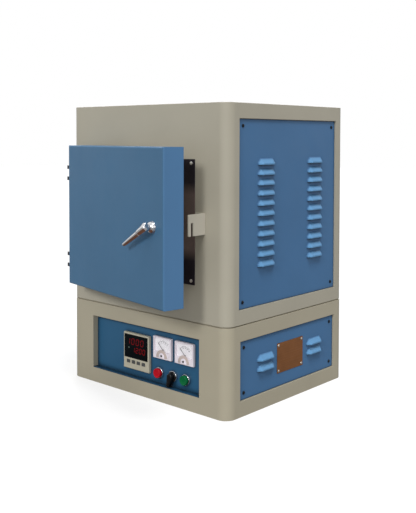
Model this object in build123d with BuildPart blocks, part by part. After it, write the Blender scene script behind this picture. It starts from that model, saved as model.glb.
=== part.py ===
"""Bench muffle furnace with a side-hung door above a control base.

Millimetres, +Z up. The origin is the centre of the base on the bench, the front faces -Y and the
door hangs on the left. Door pieces are drawn where they lie with the door shut, on planes that are
then swung about the hinge pins to the angle at which the door stands ajar.
"""
import os
from math import cos, radians, sin

from build123d import *

os.makedirs("parts", exist_ok=True)

# ---------------------------------------------------------------- cabinet
width = 576.0
depth = 504.0
height = 760.0
corner_radius = 28.0
sheet = 2.0
base_height = 222.0
base_proud = 0.7
seam_height = 3.0
seam_inset = 4.0
vent_slot = (8.0, 90.0)
vent_pitch = 30.0
vent_count = 6
deck_slot = (160.0, 50.0)
deck_slot_inset = 90.0
casing_flange = 30.0
base_flange = 22.0
cover_rim = 10.0
cover_edge = 0.7
fit_gap = 0.5

# ---------------------------------------------------------------- panels let into the cabinet
panel_recess = 4.0
panel_sheet = 1.5
panel_gap = 1.0
seat_flange = 26.0
side_opening = (418.0, 462.0)
side_opening_centre = 491.25
lower_opening = (408.0, 146.0)
lower_opening_centre = 111.5
rear_opening = (440.0, 462.0)
rear_lower_opening = (440.0, 146.0)
screw_inset = 17.5
screw_head_radius = 4.0
screw_head_height = 2.4
bolt_head_radius = 4.6
hole_play = 0.3
screw_head_sides = 8
screw_head_taper = 18.0

# ---------------------------------------------------------------- louvres
louvre_length = 72.0
louvre_rise = 16.0
louvre_corner = 11.0
louvre_crown = (46.0, 3.5)
louvre_crown_corner = 2.0
louvre_proud = 10.0
louvre_skin = 1.2
louvre_pitch = 25.2
louvre_columns = 212.0
louvre_shift = 6.5
side_louvre_rows = 11
lower_louvre_rows = 2
lower_louvre_drop = 5.0
rear_louvre_rows = 5
rear_louvre_lift = 60.0

# ---------------------------------------------------------------- nameplate
plate_size = (112.0, 77.0)
plate_spot = (4.0, 111.5)
plate_thickness = 0.8
rivet_inset = 5.0
rivet_radius = 2.6
rivet_height = 1.4
rivet_taper = 30.0

# ---------------------------------------------------------------- muffle and insulation
chamber_width = 240.0
chamber_height = 180.0
chamber_depth = 340.0
chamber_centre = 469.5
muffle_wall = 14.0
muffle_proud = 3.0
case_width = 460.0
case_height = 420.0
case_depth = 440.0
rail_width = 40.0
rail_spacing = 300.0
rail_length = 390.0
rail_forward = 20.0
hearth_thickness = 12.0
hearth_gap = 8.0
hearth_bevel = 1.5
coil_rows = 5
coil_pitch = 30.0
coil_radius = 4.5
coil_play = 0.3
coil_proud = 1.0
coil_sides = 8
groove_end = 22.0
tail_radius = 1.5
tail_play = 0.6
wire_sides = 6
terminal_size = (18.0, 150.0, 14.0)
thermocouple_radius = 4.0
thermocouple_reach = 25.0
thermocouple_rise = 62.0
thermocouple_head = (14.0, 26.0)

# ---------------------------------------------------------------- mouth frame
mouth_frame = (368.0, 308.0)
mouth_frame_sheet = 3.0
mouth_play = 2.0
mouth_screw_inset = 10.0

# ---------------------------------------------------------------- door
door_left = -215.0
door_width = 452.0
door_height = 374.0
door_bottom = 280.5
door_thickness = 57.0
door_standoff = 8.0
door_fold = 4.0
door_sheet = 2.0
door_ajar = 10.5
back_screw_inset = 12.0
door_pad = (330.0, 300.0)
plug_size = (228.0, 168.0)
plug_length = 34.0
plug_taper = 5.0
plug_play = 4.0
gasket_size = (340.0, 280.0)
gasket_thickness = 4.5
gasket_corner = 10.0

# ---------------------------------------------------------------- hinges
hinge_heights = (343.0, 579.5)
pin_out = 19.0
pin_forward = 34.0
pin_radius = 5.0
pin_play = 0.08
pin_head_radius = 7.5
pin_head_height = 3.0
pin_tail = 2.0
ear_radius = 15.0
ear_thickness = 9.5
ear_spacing = 30.3
bracket_plate = (38.0, 74.0)
bracket_sheet = 4.0
bracket_bolts = 56.0
lug_radius = 9.0
lug_arm = 12.6
lug_play = 0.4
lug_plate = (28.0, 66.0)
lug_sheet = 3.0
lug_screws = 52.0

# ---------------------------------------------------------------- latch
hub_x = 192.0
hub_z = 469.0
rosette_radius = 15.0
rosette_height = 12.0
rosette_bevel = 3.0
sleeve_radius = 9.0
sleeve_depth = 12.0
spindle_radius = 6.0
spindle_nut = (9.5, 5.0)
lever_angle = 208.0
lever_latched = 270.0
lever_length = 101.0
lever_head_radius = 10.5
lever_waist_radius = 8.5
lever_tip_radius = 5.0
lever_head_end = 26.0
lever_head_bevel = 3.0
lever_blade_rise = 1.0
lever_blade_thickness = 10.0
lever_blade_bevel = 3.6
lever_cap = 4.0
lever_neck = 2.5
press_play = 0.02
lever_rise = 17.0
lever_thickness = 14.0
arm_reach = 32.0
arm_width = 8.0
arm_thickness = 6.0
arm_boss = 2.0
arm_hub_radius = 10.0
keeper_x = 217.0
keeper_sheet = 3.0
keeper_reach = 59.0
keeper_top = 494.0
keeper_bottom = 442.0
keeper_flange = 29.0
keeper_finger = 9.0
keeper_slot = 8.0
keeper_room = 7.0
keeper_nose = 3.0
keeper_bolt_rise = 14.0
keeper_bolt_inset = 17.4

# ---------------------------------------------------------------- control panel
control_opening = (397.0, 144.0)
control_centre = 112.0
control_recess = 16.5
control_margin = 10.0
control_lip = 16.0
control_lip_gap = 0.5
controller_spot = (-34.5, 109.5)
controller_size = 96.0
controller_proud = 9.0
case_bevel = 1.5
controller_body = (90.0, 78.0)
window_size = (89.0, 62.5)
window_rise = 12.5
window_thickness = 1.5
window_play = 0.1
key_size = (12.0, 8.5)
key_pitch = 19.0
key_drop = 28.5
key_proud = 1.2
key_depth = 4.0
key_bevel = 0.4
key_travel = 0.8
key_play = 0.35
meter_spots = ((61.0, 136.0), (138.5, 136.0))
meter_size = (64.0, 56.0)
meter_proud = 8.5
meter_body_radius = 24.0
meter_body_depth = 42.0
meter_window = (58.0, 35.0)
meter_window_rise = 7.5
meter_pocket = 6.5
meter_glass = 1.2
pointer_drop = 6.0
pointer_length = 24.0
pointer_tail = 3.0
pointer_start = 135.0
pointer_width = 0.9
pointer_depth = 4.0
pivot_radius = 0.8
pointer_hub = 2.4
pivot_depth = 5.0
switch_z = 69.5
stop_x = 46.5
selector_x = 95.5
start_x = 140.5
bezel_radius = 14.6
bezel_height = 5.0
bezel_taper = 12.0
cap_radius = 12.2
cap_play = 0.4
cap_height = 13.0
cap_travel = 4.0
cap_bevel = 1.2
barrel_radius = 11.0
barrel_bore = 9.0
barrel_depth = 18.0
block_size = (28.0, 28.0, 32.0)
selector_angle = -104.0
grip_length = 27.0
grip_tail = 10.0
grip_tip = 4.5
grip_hub = 8.5
grip_height = 18.0
hub_height = 7.0

# ---------------------------------------------------------------- inside the base
gland_x = 165.0
gland_z = 85.0
gland_radius = 12.0
gland_bore = 5.5
gland_thread = 9.0
gland_hexagon = 13.0
gland_body = 6.0
gland_cap = 14.0
gland_taper = 6.0
gland_tail = 12.0
gland_nut = 4.0
sink_size = (110.0, 90.0, 60.0)
sink_spot = (-150.0, 40.0)
fin_count = 8
fin_thickness = 2.5
sink_foot = 12.0
module_size = (63.0, 24.0)
block_spot = (140.0, 170.0)
block_strip = (110.0, 34.0, 30.0)
block_poles = 5
block_well = 8.0
transformer_spot = (20.0, 60.0)
transformer_core = (84.0, 70.0, 62.0)
transformer_coil = (56.0, 96.0, 46.0)
coil_corner = 8.0

# ================================================================ planes and shared places
front = Plane.XZ.offset(depth / 2)
right = Plane.YZ.offset(width / 2)
left = Plane(origin=(-width / 2, 0, 0), x_dir=(0, -1, 0), z_dir=(-1, 0, 0))
rear = Plane(origin=(0, depth / 2, 0), x_dir=(-1, 0, 0), z_dir=(0, 1, 0))
base_front = front.offset(base_proud)
base_right = right.offset(base_proud)
base_left = left.offset(base_proud)
base_rear = rear.offset(base_proud)

upper_bottom = base_height + seam_height
cover_bottom = height - sheet
seat_depth = panel_recess + panel_sheet
control_face = base_front.offset(-control_recess)
case_front = -depth / 2 + sheet
case_bottom = chamber_centre - case_height / 2
case_back = case_front + case_depth
muffle_front = -depth / 2 - muffle_proud
muffle_size = (chamber_width + 2 * muffle_wall, chamber_height + 2 * muffle_wall)
muffle_back = muffle_front + chamber_depth + muffle_wall
coil_x = chamber_width / 2 + coil_radius - coil_proud
coil_heights = [chamber_centre + coil_pitch * (row - (coil_rows - 1) / 2) for row in range(coil_rows)]
coil_spots = [(side * coil_x, z) for side in (-1, 1) for z in coil_heights]
tail_spots = [(side * coil_x, z) for side in (-1, 1) for z in (coil_heights[0], coil_heights[-1])]
tail_end = case_back + terminal_size[2] + 4
thermocouple_z = chamber_centre + thermocouple_rise

hinge_x = door_left - pin_out
hinge_y = -depth / 2 - door_standoff - pin_forward
hinge_point = Pos(hinge_x, hinge_y, 0)
swing = hinge_point * Rot(0, 0, -door_ajar) * hinge_point.inverse()
door_centre = (door_left + door_width / 2, door_bottom + door_height / 2)
door_back_y = depth / 2 + door_standoff
door_front_y = door_back_y + door_thickness
arm_y = depth / 2 + keeper_reach - keeper_finger - keeper_slot / 2
arm_angle = lever_angle - lever_latched


def hung(plane):
    """The plane, given with the door shut, carried round to where the door stands ajar."""
    return Plane(swing * plane.location)


door_face = hung(Plane.XZ.offset(door_front_y))
door_inner_face = hung(Plane.XZ.offset(door_back_y + door_sheet))
door_rear_face = hung(Plane(origin=(0, -door_back_y, 0), x_dir=(-1, 0, 0), z_dir=(0, 1, 0)))


def corners(spot, size, inset):
    """The four points that lie inset from the corners of a rectangle."""
    x, y = size[0] / 2 - inset, size[1] / 2 - inset
    return [(spot[0] + i * x, spot[1] + j * y) for i in (-1, 1) for j in (-1, 1)]


def save(built, name):
    built.part.label = name
    export_step(built.part, f"parts/{name}.step")


side_spot = (0, side_opening_centre)
lower_spot = (0, lower_opening_centre)
upper_screw_rows = ((left, side_spot, side_opening), (right, side_spot, side_opening))
lower_screw_rows = ((base_left, lower_spot, lower_opening), (base_right, lower_spot, lower_opening))
rear_screw_rows = ((rear, side_spot, rear_opening), (base_rear, lower_spot, rear_lower_opening))
hinge_bolt_spots = [
    (hinge_x, z + side * bracket_bolts / 2) for z in hinge_heights for side in (-1, 1)
]
keeper_height = keeper_top - keeper_bottom
keeper_middle = (keeper_top + keeper_bottom) / 2
keeper_bolt_spots = [
    (keeper_x - keeper_bolt_inset, keeper_middle + side * keeper_bolt_rise) for side in (-1, 1)
]
mouth_spot = (0, chamber_centre)
mouth_screw_spots = corners(mouth_spot, mouth_frame, mouth_screw_inset)


# ================================================================ shared features
def wrapped_walls(bottom, top, grow):
    """Four walls of one wrapped sheet with rounded upright corners."""
    with BuildSketch(Plane.XY.offset(bottom)) as ring:
        RectangleRounded(width + 2 * grow, depth + 2 * grow, corner_radius + grow)
        inner = grow - sheet
        RectangleRounded(width + 2 * inner, depth + 2 * inner, corner_radius + inner, mode=Mode.SUBTRACT)
    extrude(ring.sketch, amount=top - bottom)


def turned_flange(bottom, grow, reach):
    """A flange turned inwards from the foot or the head of the walls."""
    with BuildSketch(Plane.XY.offset(bottom)) as ring:
        RectangleRounded(width + 2 * grow, depth + 2 * grow, corner_radius + grow)
        Rectangle(width - 2 * reach, depth - 2 * reach, mode=Mode.SUBTRACT)
    extrude(ring.sketch, amount=sheet)


def box_on(face, spot, size, inwards, mode=Mode.ADD):
    """A rectangular block that runs inwards from a face."""
    with BuildSketch(face) as outline:
        with Locations(spot):
            Rectangle(*size)
    extrude(outline.sketch, amount=-inwards, mode=mode)


def panel_seat(face, spot, size):
    """An opening whose folded edges carry a flange that the let-in panel is screwed to."""
    box_on(face, spot, (size[0] + 2 * sheet, size[1] + 2 * sheet), seat_depth + sheet)
    box_on(face, spot, size, seat_depth, Mode.SUBTRACT)
    inside = (size[0] - 2 * seat_flange, size[1] - 2 * seat_flange)
    box_on(face, spot, inside, seat_depth + 2 * sheet, Mode.SUBTRACT)


# One pressed louvre, lying on XY with its mouth towards -Y, and the hollow pressed out behind it.
def louvre_form(skin):
    """Half of a rounded boss that narrows to its crown, thinner all round by the skin."""
    with BuildPart() as boss:
        with BuildSketch(Plane.XY) as root:
            Rectangle(louvre_length - 2 * skin, 2 * (louvre_rise - skin))
            chamfer(root.vertices(), louvre_corner)
        with BuildSketch(Plane.XY.offset(louvre_proud - skin)) as crown:
            Rectangle(louvre_crown[0] - 2 * skin, 2 * (louvre_crown[1] - skin))
            chamfer(crown.vertices(), louvre_crown_corner)
        loft(ruled=True)
        if skin:
            extrude(root.sketch, amount=-panel_sheet)
        split(bisect_by=Plane.XZ, keep=Keep.BOTTOM)
    return boss.part


louvre_hood = louvre_form(0)
louvre_hollow = louvre_form(louvre_skin)


def louvred_panel(face, spot, size, rows, drop, shift):
    """A flat panel let into the cabinet, with two columns of pressed louvres."""
    outer = face.offset(-panel_recess)
    with BuildPart(outer) as panel:
        with BuildSketch(outer):
            with Locations(spot):
                Rectangle(size[0] - 2 * panel_gap, size[1] - 2 * panel_gap)
        extrude(amount=-panel_sheet)
        middle = (spot[0] + shift, spot[1] + drop - louvre_rise / 2)
        with Locations(middle):
            with GridLocations(louvre_columns, louvre_pitch, 2, rows):
                add(louvre_hood)
        with Locations(middle):
            with GridLocations(louvre_columns, louvre_pitch, 2, rows):
                add(louvre_hollow, mode=Mode.SUBTRACT)
    return panel


def screw_heads(face, spots):
    """Pan heads of screws, seated on a face."""
    with BuildSketch(face) as heads:
        with Locations(*spots):
            RegularPolygon(screw_head_radius, screw_head_sides)
    extrude(heads.sketch, amount=screw_head_height, taper=screw_head_taper)


# ================================================================ base
with BuildPart() as base_casing:
    wrapped_walls(0, base_height, base_proud)
    turned_flange(0, base_proud, base_flange)
    turned_flange(base_height - sheet, base_proud, casing_flange)
    for face, spot, size in lower_screw_rows:
        panel_seat(face, spot, size)
    panel_seat(base_rear, lower_spot, rear_lower_opening)
    control_fold = (control_opening[0] + 2 * sheet, control_opening[1] + 2 * sheet)
    box_on(base_front, (0, control_centre), control_fold, control_recess)
    box_on(base_front, (0, control_centre), control_opening, control_recess, Mode.SUBTRACT)
save(base_casing, "base_casing")

with BuildPart() as base_tray:
    tray_width = width + 2 * (base_proud - sheet - fit_gap)
    tray_depth = depth + 2 * (base_proud - sheet - fit_gap)
    with BuildSketch(Plane.XY.offset(sheet)):
        RectangleRounded(tray_width, tray_depth, corner_radius - sheet)
        with GridLocations(vent_pitch, 0, vent_count, 1):
            Rectangle(*vent_slot, mode=Mode.SUBTRACT)
    extrude(amount=sheet)
save(base_tray, "base_tray")
tray_top = Plane.XY.offset(2 * sheet)

with BuildPart() as deck_plate:
    with BuildSketch(Plane.XY.offset(base_height)):
        RectangleRounded(width - 2 * seam_inset, depth - 2 * seam_inset, corner_radius - seam_inset)
        with Locations((0, depth / 2 - deck_slot_inset)):
            Rectangle(*deck_slot, mode=Mode.SUBTRACT)
    extrude(amount=seam_height)
save(deck_plate, "deck_plate")

for name, (face, spot, size) in zip(("lower_panel_left", "lower_panel_right"), lower_screw_rows):
    towards_rear = louvre_shift if face is base_right else -louvre_shift
    save(louvred_panel(face, spot, size, lower_louvre_rows, lower_louvre_drop, towards_rear), name)

with BuildPart() as nameplate:
    plate_face = base_right.offset(-panel_recess)
    with BuildSketch(plate_face):
        with Locations(plate_spot):
            Rectangle(*plate_size)
    extrude(amount=plate_thickness)
save(nameplate, "nameplate")

with BuildPart() as nameplate_rivets:
    with BuildSketch(plate_face.offset(plate_thickness)):
        with Locations(*corners(plate_spot, plate_size, rivet_inset)):
            RegularPolygon(rivet_radius, screw_head_sides)
    extrude(amount=rivet_height, taper=rivet_taper)
save(nameplate_rivets, "nameplate_rivets")

# ================================================================ upper cabinet
with BuildPart() as upper_casing:
    wrapped_walls(upper_bottom, cover_bottom, 0)
    turned_flange(upper_bottom, 0, casing_flange)
    for face, spot, size in upper_screw_rows:
        panel_seat(face, spot, size)
    panel_seat(rear, side_spot, rear_opening)
    with BuildSketch(front):
        with Locations(mouth_spot):
            Rectangle(muffle_size[0] + 4 * mouth_play, muffle_size[1] + 4 * mouth_play)
    extrude(amount=-sheet, mode=Mode.SUBTRACT)
save(upper_casing, "upper_casing")

with BuildPart() as top_cover:
    with BuildSketch(Plane.XY.offset(cover_bottom)):
        RectangleRounded(width, depth, corner_radius)
    extrude(amount=sheet)
    fillet(top_cover.faces().sort_by(Axis.Z)[-1].edges(), cover_edge * sheet)
    rim = sheet + fit_gap
    with BuildSketch(Plane.XY.offset(cover_bottom)):
        RectangleRounded(width - 2 * rim, depth - 2 * rim, corner_radius - rim)
        rim += sheet
        RectangleRounded(width - 2 * rim, depth - 2 * rim, corner_radius - rim, mode=Mode.SUBTRACT)
    extrude(amount=-cover_rim)
save(top_cover, "top_cover")

for name, (face, spot, size) in zip(("side_panel_left", "side_panel_right"), upper_screw_rows):
    towards_rear = louvre_shift if face is right else -louvre_shift
    save(louvred_panel(face, spot, size, side_louvre_rows, 0, towards_rear), name)

save(louvred_panel(rear, side_spot, rear_opening, rear_louvre_rows, rear_louvre_lift, 0), "rear_panel")

with BuildPart() as rear_panel_lower:
    rear_lower_face = base_rear.offset(-panel_recess)
    with BuildSketch(rear_lower_face):
        with Locations(lower_spot):
            Rectangle(rear_lower_opening[0] - 2 * panel_gap, rear_lower_opening[1] - 2 * panel_gap)
        with Locations((-gland_x, gland_z)):
            Circle(gland_thread + hole_play, mode=Mode.SUBTRACT)
    extrude(amount=-panel_sheet)
save(rear_panel_lower, "rear_panel_lower")

with BuildPart() as panel_screws:
    for face, spot, size in (*upper_screw_rows, *lower_screw_rows, *rear_screw_rows):
        screw_heads(face.offset(-panel_recess), corners(spot, size, screw_inset))
save(panel_screws, "panel_screws")

# ================================================================ hot box
with BuildPart() as inner_case:
    with BuildSketch(Plane.XZ.offset(-case_front)):
        with Locations(mouth_spot):
            Rectangle(case_width, case_height)
    extrude(amount=-case_depth)
    with BuildSketch(Plane.XZ.offset(-case_front)):
        with Locations(mouth_spot):
            Rectangle(case_width - 2 * sheet, case_height - 2 * sheet)
    extrude(amount=-(case_depth - sheet), mode=Mode.SUBTRACT)
    with BuildSketch(Plane.XZ.offset(-case_back)):
        with Locations(*tail_spots):
            RegularPolygon(tail_radius + tail_play, wire_sides)
        with Locations((0, thermocouple_z)):
            Circle(thermocouple_radius + tail_play)
    extrude(amount=sheet, mode=Mode.SUBTRACT)
save(inner_case, "inner_case")

with BuildPart() as case_rails:
    rail_height = case_bottom - upper_bottom
    with BuildSketch(Plane.XZ.offset(rail_length / 2 + rail_forward)):
        with Locations(*((side * rail_spacing / 2, upper_bottom + rail_height / 2) for side in (-1, 1))):
            Rectangle(rail_width, rail_height)
        for side in (-1, 1):
            with Locations((side * rail_spacing / 2, upper_bottom + rail_height / 2 - sheet)):
                Rectangle(rail_width - 2 * sheet, rail_height, mode=Mode.SUBTRACT)
    extrude(amount=-rail_length)
save(case_rails, "case_rails")

block_start = Plane.XZ.offset(-case_front)
block_length = case_depth - sheet
block_width = case_width - 2 * sheet
slab_height = (case_height - 2 * sheet - muffle_size[1]) / 2

with BuildPart() as insulation_slabs:
    slab_rise = (muffle_size[1] + slab_height) / 2
    with BuildSketch(block_start):
        with Locations(*((0, chamber_centre + side * slab_rise) for side in (-1, 1))):
            Rectangle(block_width, slab_height)
    extrude(amount=-block_length)
save(insulation_slabs, "insulation_slabs")

with BuildPart() as insulation_sides:
    side_width = (block_width - muffle_size[0]) / 2
    with BuildSketch(block_start):
        with Locations(*((side * (muffle_size[0] + side_width) / 2, chamber_centre) for side in (-1, 1))):
            Rectangle(side_width, muffle_size[1])
    extrude(amount=-block_length)
save(insulation_sides, "insulation_sides")

with BuildPart() as insulation_rear:
    with BuildSketch(Plane.XZ.offset(-muffle_back)):
        with Locations(mouth_spot):
            Rectangle(*muffle_size)
        with Locations(*tail_spots):
            RegularPolygon(tail_radius + tail_play, wire_sides, mode=Mode.SUBTRACT)
        with Locations((0, thermocouple_z)):
            Circle(thermocouple_radius + tail_play, mode=Mode.SUBTRACT)
    extrude(amount=-(case_back - sheet - muffle_back))
save(insulation_rear, "insulation_rear")

# The muffle is one fired box, grooved inside for the coils.
with BuildPart() as muffle:
    with BuildSketch(Plane.XZ.offset(-muffle_front)):
        with Locations(mouth_spot):
            Rectangle(*muffle_size)
    extrude(amount=-(chamber_depth + muffle_wall))
    with BuildSketch(Plane.XZ.offset(-muffle_front)):
        with Locations(mouth_spot):
            Rectangle(chamber_width, chamber_height)
    extrude(amount=-chamber_depth, mode=Mode.SUBTRACT)
    groove_half = coil_radius + coil_play
    with BuildSketch(Plane.XZ.offset(-muffle_front - groove_end)):
        with Locations(*coil_spots):
            Rectangle(2 * groove_half, 2 * groove_half)
    extrude(amount=-(chamber_depth - groove_end), mode=Mode.SUBTRACT)
    with BuildSketch(Plane.XZ.offset(-muffle_back)):
        with Locations(*tail_spots):
            RegularPolygon(tail_radius + tail_play, wire_sides)
        with Locations((0, thermocouple_z)):
            Circle(thermocouple_radius + tail_play)
    extrude(amount=muffle_wall, mode=Mode.SUBTRACT)
save(muffle, "muffle")

# The hearth plate starts behind the door's plug and ends short of the back wall.
hearth_front = plug_length - door_back_y + hearth_gap
hearth_back = muffle_front + chamber_depth - hearth_gap
with BuildPart() as hearth_plate:
    with BuildSketch(Plane.XY.offset(chamber_centre - chamber_height / 2)):
        with Locations((0, (hearth_front + hearth_back) / 2)):
            Rectangle(chamber_width - 2 * hearth_gap, hearth_back - hearth_front)
    extrude(amount=hearth_thickness)
    chamfer(hearth_plate.faces().sort_by(Axis.Z)[-1].edges(), hearth_bevel)
save(hearth_plate, "hearth_plate")

with BuildPart() as heating_coils:
    coil_front = muffle_front + groove_end + coil_play
    with BuildSketch(Plane.XZ.offset(-coil_front)):
        with Locations(*coil_spots):
            RegularPolygon(coil_radius, coil_sides)
    coil_length = chamber_depth - groove_end - 2 * coil_play
    extrude(amount=-coil_length)
    with BuildSketch(Plane.XZ.offset(-coil_front - coil_length)):
        with Locations(*tail_spots):
            RegularPolygon(tail_radius, wire_sides)
    extrude(amount=-(tail_end - coil_front - coil_length))
save(heating_coils, "heating_coils")

with BuildPart() as heater_terminals:
    with BuildSketch(Plane.XZ.offset(-case_back)):
        with Locations(*((side * coil_x, chamber_centre) for side in (-1, 1))):
            Rectangle(terminal_size[0], terminal_size[1])
        with Locations(*tail_spots):
            RegularPolygon(tail_radius + tail_play, wire_sides, mode=Mode.SUBTRACT)
    extrude(amount=-terminal_size[2])
save(heater_terminals, "heater_terminals")

with BuildPart() as thermocouple:
    sheath_start = muffle_front + chamber_depth - thermocouple_reach
    with BuildSketch(Plane.XZ.offset(-sheath_start)):
        with Locations((0, thermocouple_z)):
            Circle(thermocouple_radius)
    extrude(amount=-(case_back - sheath_start))
    with BuildSketch(Plane.XZ.offset(-case_back)):
        with Locations((0, thermocouple_z)):
            Circle(thermocouple_head[0])
    extrude(amount=-thermocouple_head[1])
save(thermocouple, "thermocouple")

# ================================================================ mouth frame and latch keeper
with BuildPart() as mouth_plate:
    with BuildSketch(front):
        with Locations(mouth_spot):
            Rectangle(*mouth_frame)
            opening = (muffle_size[0] + 2 * mouth_play, muffle_size[1] + 2 * mouth_play)
            Rectangle(*opening, mode=Mode.SUBTRACT)
    extrude(amount=mouth_frame_sheet)
save(mouth_plate, "mouth_frame")

with BuildPart() as mouth_screws:
    screw_heads(front.offset(mouth_frame_sheet), mouth_screw_spots)
save(mouth_screws, "mouth_frame_screws")

with BuildPart() as latch_keeper:
    keeper_side = Plane.YZ.offset(keeper_x)
    slot_top = hub_z + arm_width / 2 + fit_gap
    with BuildSketch(keeper_side):
        with Locations((-depth / 2 - keeper_reach / 2, keeper_middle)):
            Rectangle(keeper_reach, keeper_height)
        with Locations((-arm_y, (slot_top + keeper_bottom) / 2)):
            Rectangle(keeper_slot, slot_top - keeper_bottom, mode=Mode.SUBTRACT)
    extrude(amount=-keeper_sheet)
    with BuildSketch(front):
        with Locations((keeper_x - keeper_flange / 2, keeper_middle)):
            Rectangle(keeper_flange, keeper_height)
    extrude(amount=keeper_sheet)
    tip = latch_keeper.edges().filter_by(Axis.X).group_by(Axis.Y)[0]
    fillet(tip, keeper_nose)
save(latch_keeper, "latch_keeper")

# ================================================================ hinges on the cabinet
with BuildPart() as hinge_brackets:
    for z in hinge_heights:
        with BuildSketch(front):
            with Locations((hinge_x, z)):
                Rectangle(*bracket_plate)
        extrude(amount=bracket_sheet)
        for side in (-1, 1):
            ear_bottom = z + side * ear_spacing / 2 - ear_thickness / 2
            reach = -depth / 2 - hinge_y
            with BuildSketch(Plane.XY.offset(ear_bottom)):
                with Locations((hinge_x, hinge_y)):
                    Circle(ear_radius)
                with Locations((hinge_x, hinge_y + reach / 2)):
                    Rectangle(2 * ear_radius, reach)
                with Locations((hinge_x, hinge_y)):
                    Circle(pin_radius + pin_play, mode=Mode.SUBTRACT)
            extrude(amount=ear_thickness)
save(hinge_brackets, "hinge_brackets")

with BuildPart() as hinge_pins:
    pin_length = ear_spacing + ear_thickness + pin_tail
    for z in hinge_heights:
        with BuildSketch(Plane.XY.offset(z + (ear_spacing + ear_thickness) / 2)):
            with Locations((hinge_x, hinge_y)):
                Circle(pin_head_radius)
        extrude(amount=pin_head_height)
        with BuildSketch(Plane.XY.offset(z + (ear_spacing + ear_thickness) / 2)):
            with Locations((hinge_x, hinge_y)):
                Circle(pin_radius)
        extrude(amount=-pin_length)
save(hinge_pins, "hinge_pins")

with BuildPart() as front_bolts:
    with BuildSketch(front.offset(bracket_sheet)):
        with Locations(*hinge_bolt_spots):
            RegularPolygon(bolt_head_radius, 6)
    extrude(amount=screw_head_height)
    with BuildSketch(front.offset(keeper_sheet)):
        with Locations(*keeper_bolt_spots):
            RegularPolygon(bolt_head_radius, 6)
    extrude(amount=screw_head_height)
save(front_bolts, "front_bolts")

# ================================================================ door
with BuildPart() as door_shell:
    with BuildSketch(door_face):
        with Locations(door_centre):
            Rectangle(door_width, door_height)
    extrude(amount=-door_thickness)
    outward = Axis((0, 0, 0), door_face.z_dir)
    fillet(door_shell.faces().sort_by(outward)[-1].edges(), door_fold)
    with BuildSketch(door_face.offset(-door_sheet)):
        with Locations(door_centre):
            Rectangle(door_width - 2 * door_sheet, door_height - 2 * door_sheet)
    extrude(amount=-door_thickness, mode=Mode.SUBTRACT)
    with BuildSketch(door_face):
        with Locations((hub_x, hub_z)):
            Circle(sleeve_radius + hole_play)
    extrude(amount=-2 * door_sheet, mode=Mode.SUBTRACT)
save(door_shell, "door_shell")

back_screw_spots = corners(door_centre, (door_width, door_height), back_screw_inset) + [
    (door_centre[0], door_centre[1] + side * (door_height / 2 - back_screw_inset)) for side in (-1, 1)
]

with BuildPart() as door_back_plate:
    with BuildSketch(door_inner_face):
        with Locations(door_centre):
            Rectangle(door_width - 2 * door_sheet, door_height - 2 * door_sheet)
        with Locations(mouth_spot):
            Rectangle(plug_size[0] + 2 * plug_play, plug_size[1] + 2 * plug_play, mode=Mode.SUBTRACT)
        with Locations((keeper_x - keeper_sheet / 2, keeper_middle)):
            Rectangle(keeper_sheet + 2 * keeper_room, keeper_height + 2 * keeper_room, mode=Mode.SUBTRACT)
    extrude(amount=-door_sheet)
save(door_back_plate, "door_back_plate")

with BuildPart() as door_insulation:
    with BuildSketch(door_inner_face):
        with Locations(mouth_spot):
            Rectangle(*door_pad)
    extrude(amount=door_thickness - 2 * door_sheet)
    with BuildSketch(door_rear_face.offset(-door_sheet)):
        with Locations(mouth_spot):
            Rectangle(*plug_size)
    extrude(amount=plug_length, taper=plug_taper)
save(door_insulation, "door_insulation")

with BuildPart() as door_gasket:
    with BuildSketch(door_rear_face):
        with Locations(mouth_spot):
            RectangleRounded(*gasket_size, gasket_corner)
            Rectangle(plug_size[0] + 2 * plug_play, plug_size[1] + 2 * plug_play, mode=Mode.SUBTRACT)
    extrude(amount=gasket_thickness)
save(door_gasket, "door_gasket")

with BuildPart() as door_screws:
    with BuildSketch(door_rear_face):
        with Locations(*((-x, z) for x, z in back_screw_spots)):
            RegularPolygon(screw_head_radius, screw_head_sides)
    extrude(amount=screw_head_height, taper=screw_head_taper)
    lug_face = hung(Plane.YZ.offset(door_left - lug_sheet))
    with BuildSketch(lug_face):
        with Locations(*((hinge_y, z + side * lug_screws / 2) for z in hinge_heights for side in (-1, 1))):
            RegularPolygon(screw_head_radius, screw_head_sides)
    extrude(amount=-screw_head_height)
save(door_screws, "door_screws")

with BuildPart() as hinge_lugs:
    lug_height = ear_spacing - ear_thickness - 2 * lug_play
    for z in hinge_heights:
        with BuildSketch(hung(Plane.YZ.offset(door_left))):
            with Locations((hinge_y, z)):
                Rectangle(*lug_plate)
        extrude(amount=-lug_sheet)
        with BuildSketch(hung(Plane.XY.offset(z - lug_height / 2))):
            with Locations((hinge_x, hinge_y)):
                Circle(lug_radius)
            with Locations((hinge_x + (pin_out - lug_sheet) / 2, hinge_y)):
                Rectangle(pin_out - lug_sheet, lug_arm)
            with Locations((hinge_x, hinge_y)):
                Circle(pin_radius + pin_play, mode=Mode.SUBTRACT)
        extrude(amount=lug_height)
save(hinge_lugs, "hinge_lugs")

# ================================================================ door latch
with BuildPart() as handle_rosette:
    with BuildSketch(door_face):
        with Locations((hub_x, hub_z)):
            Circle(rosette_radius)
    extrude(amount=rosette_height)
    chamfer(handle_rosette.faces().sort_by(outward)[-1].edges(), rosette_bevel)
    with BuildSketch(door_face):
        with Locations((hub_x, hub_z)):
            Circle(sleeve_radius)
    extrude(amount=-sleeve_depth)
    with BuildSketch(door_face.offset(rosette_height)):
        with Locations((hub_x, hub_z)):
            Circle(spindle_radius + pin_play)
    extrude(amount=-(rosette_height + sleeve_depth), mode=Mode.SUBTRACT)
save(handle_rosette, "handle_rosette")

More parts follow.
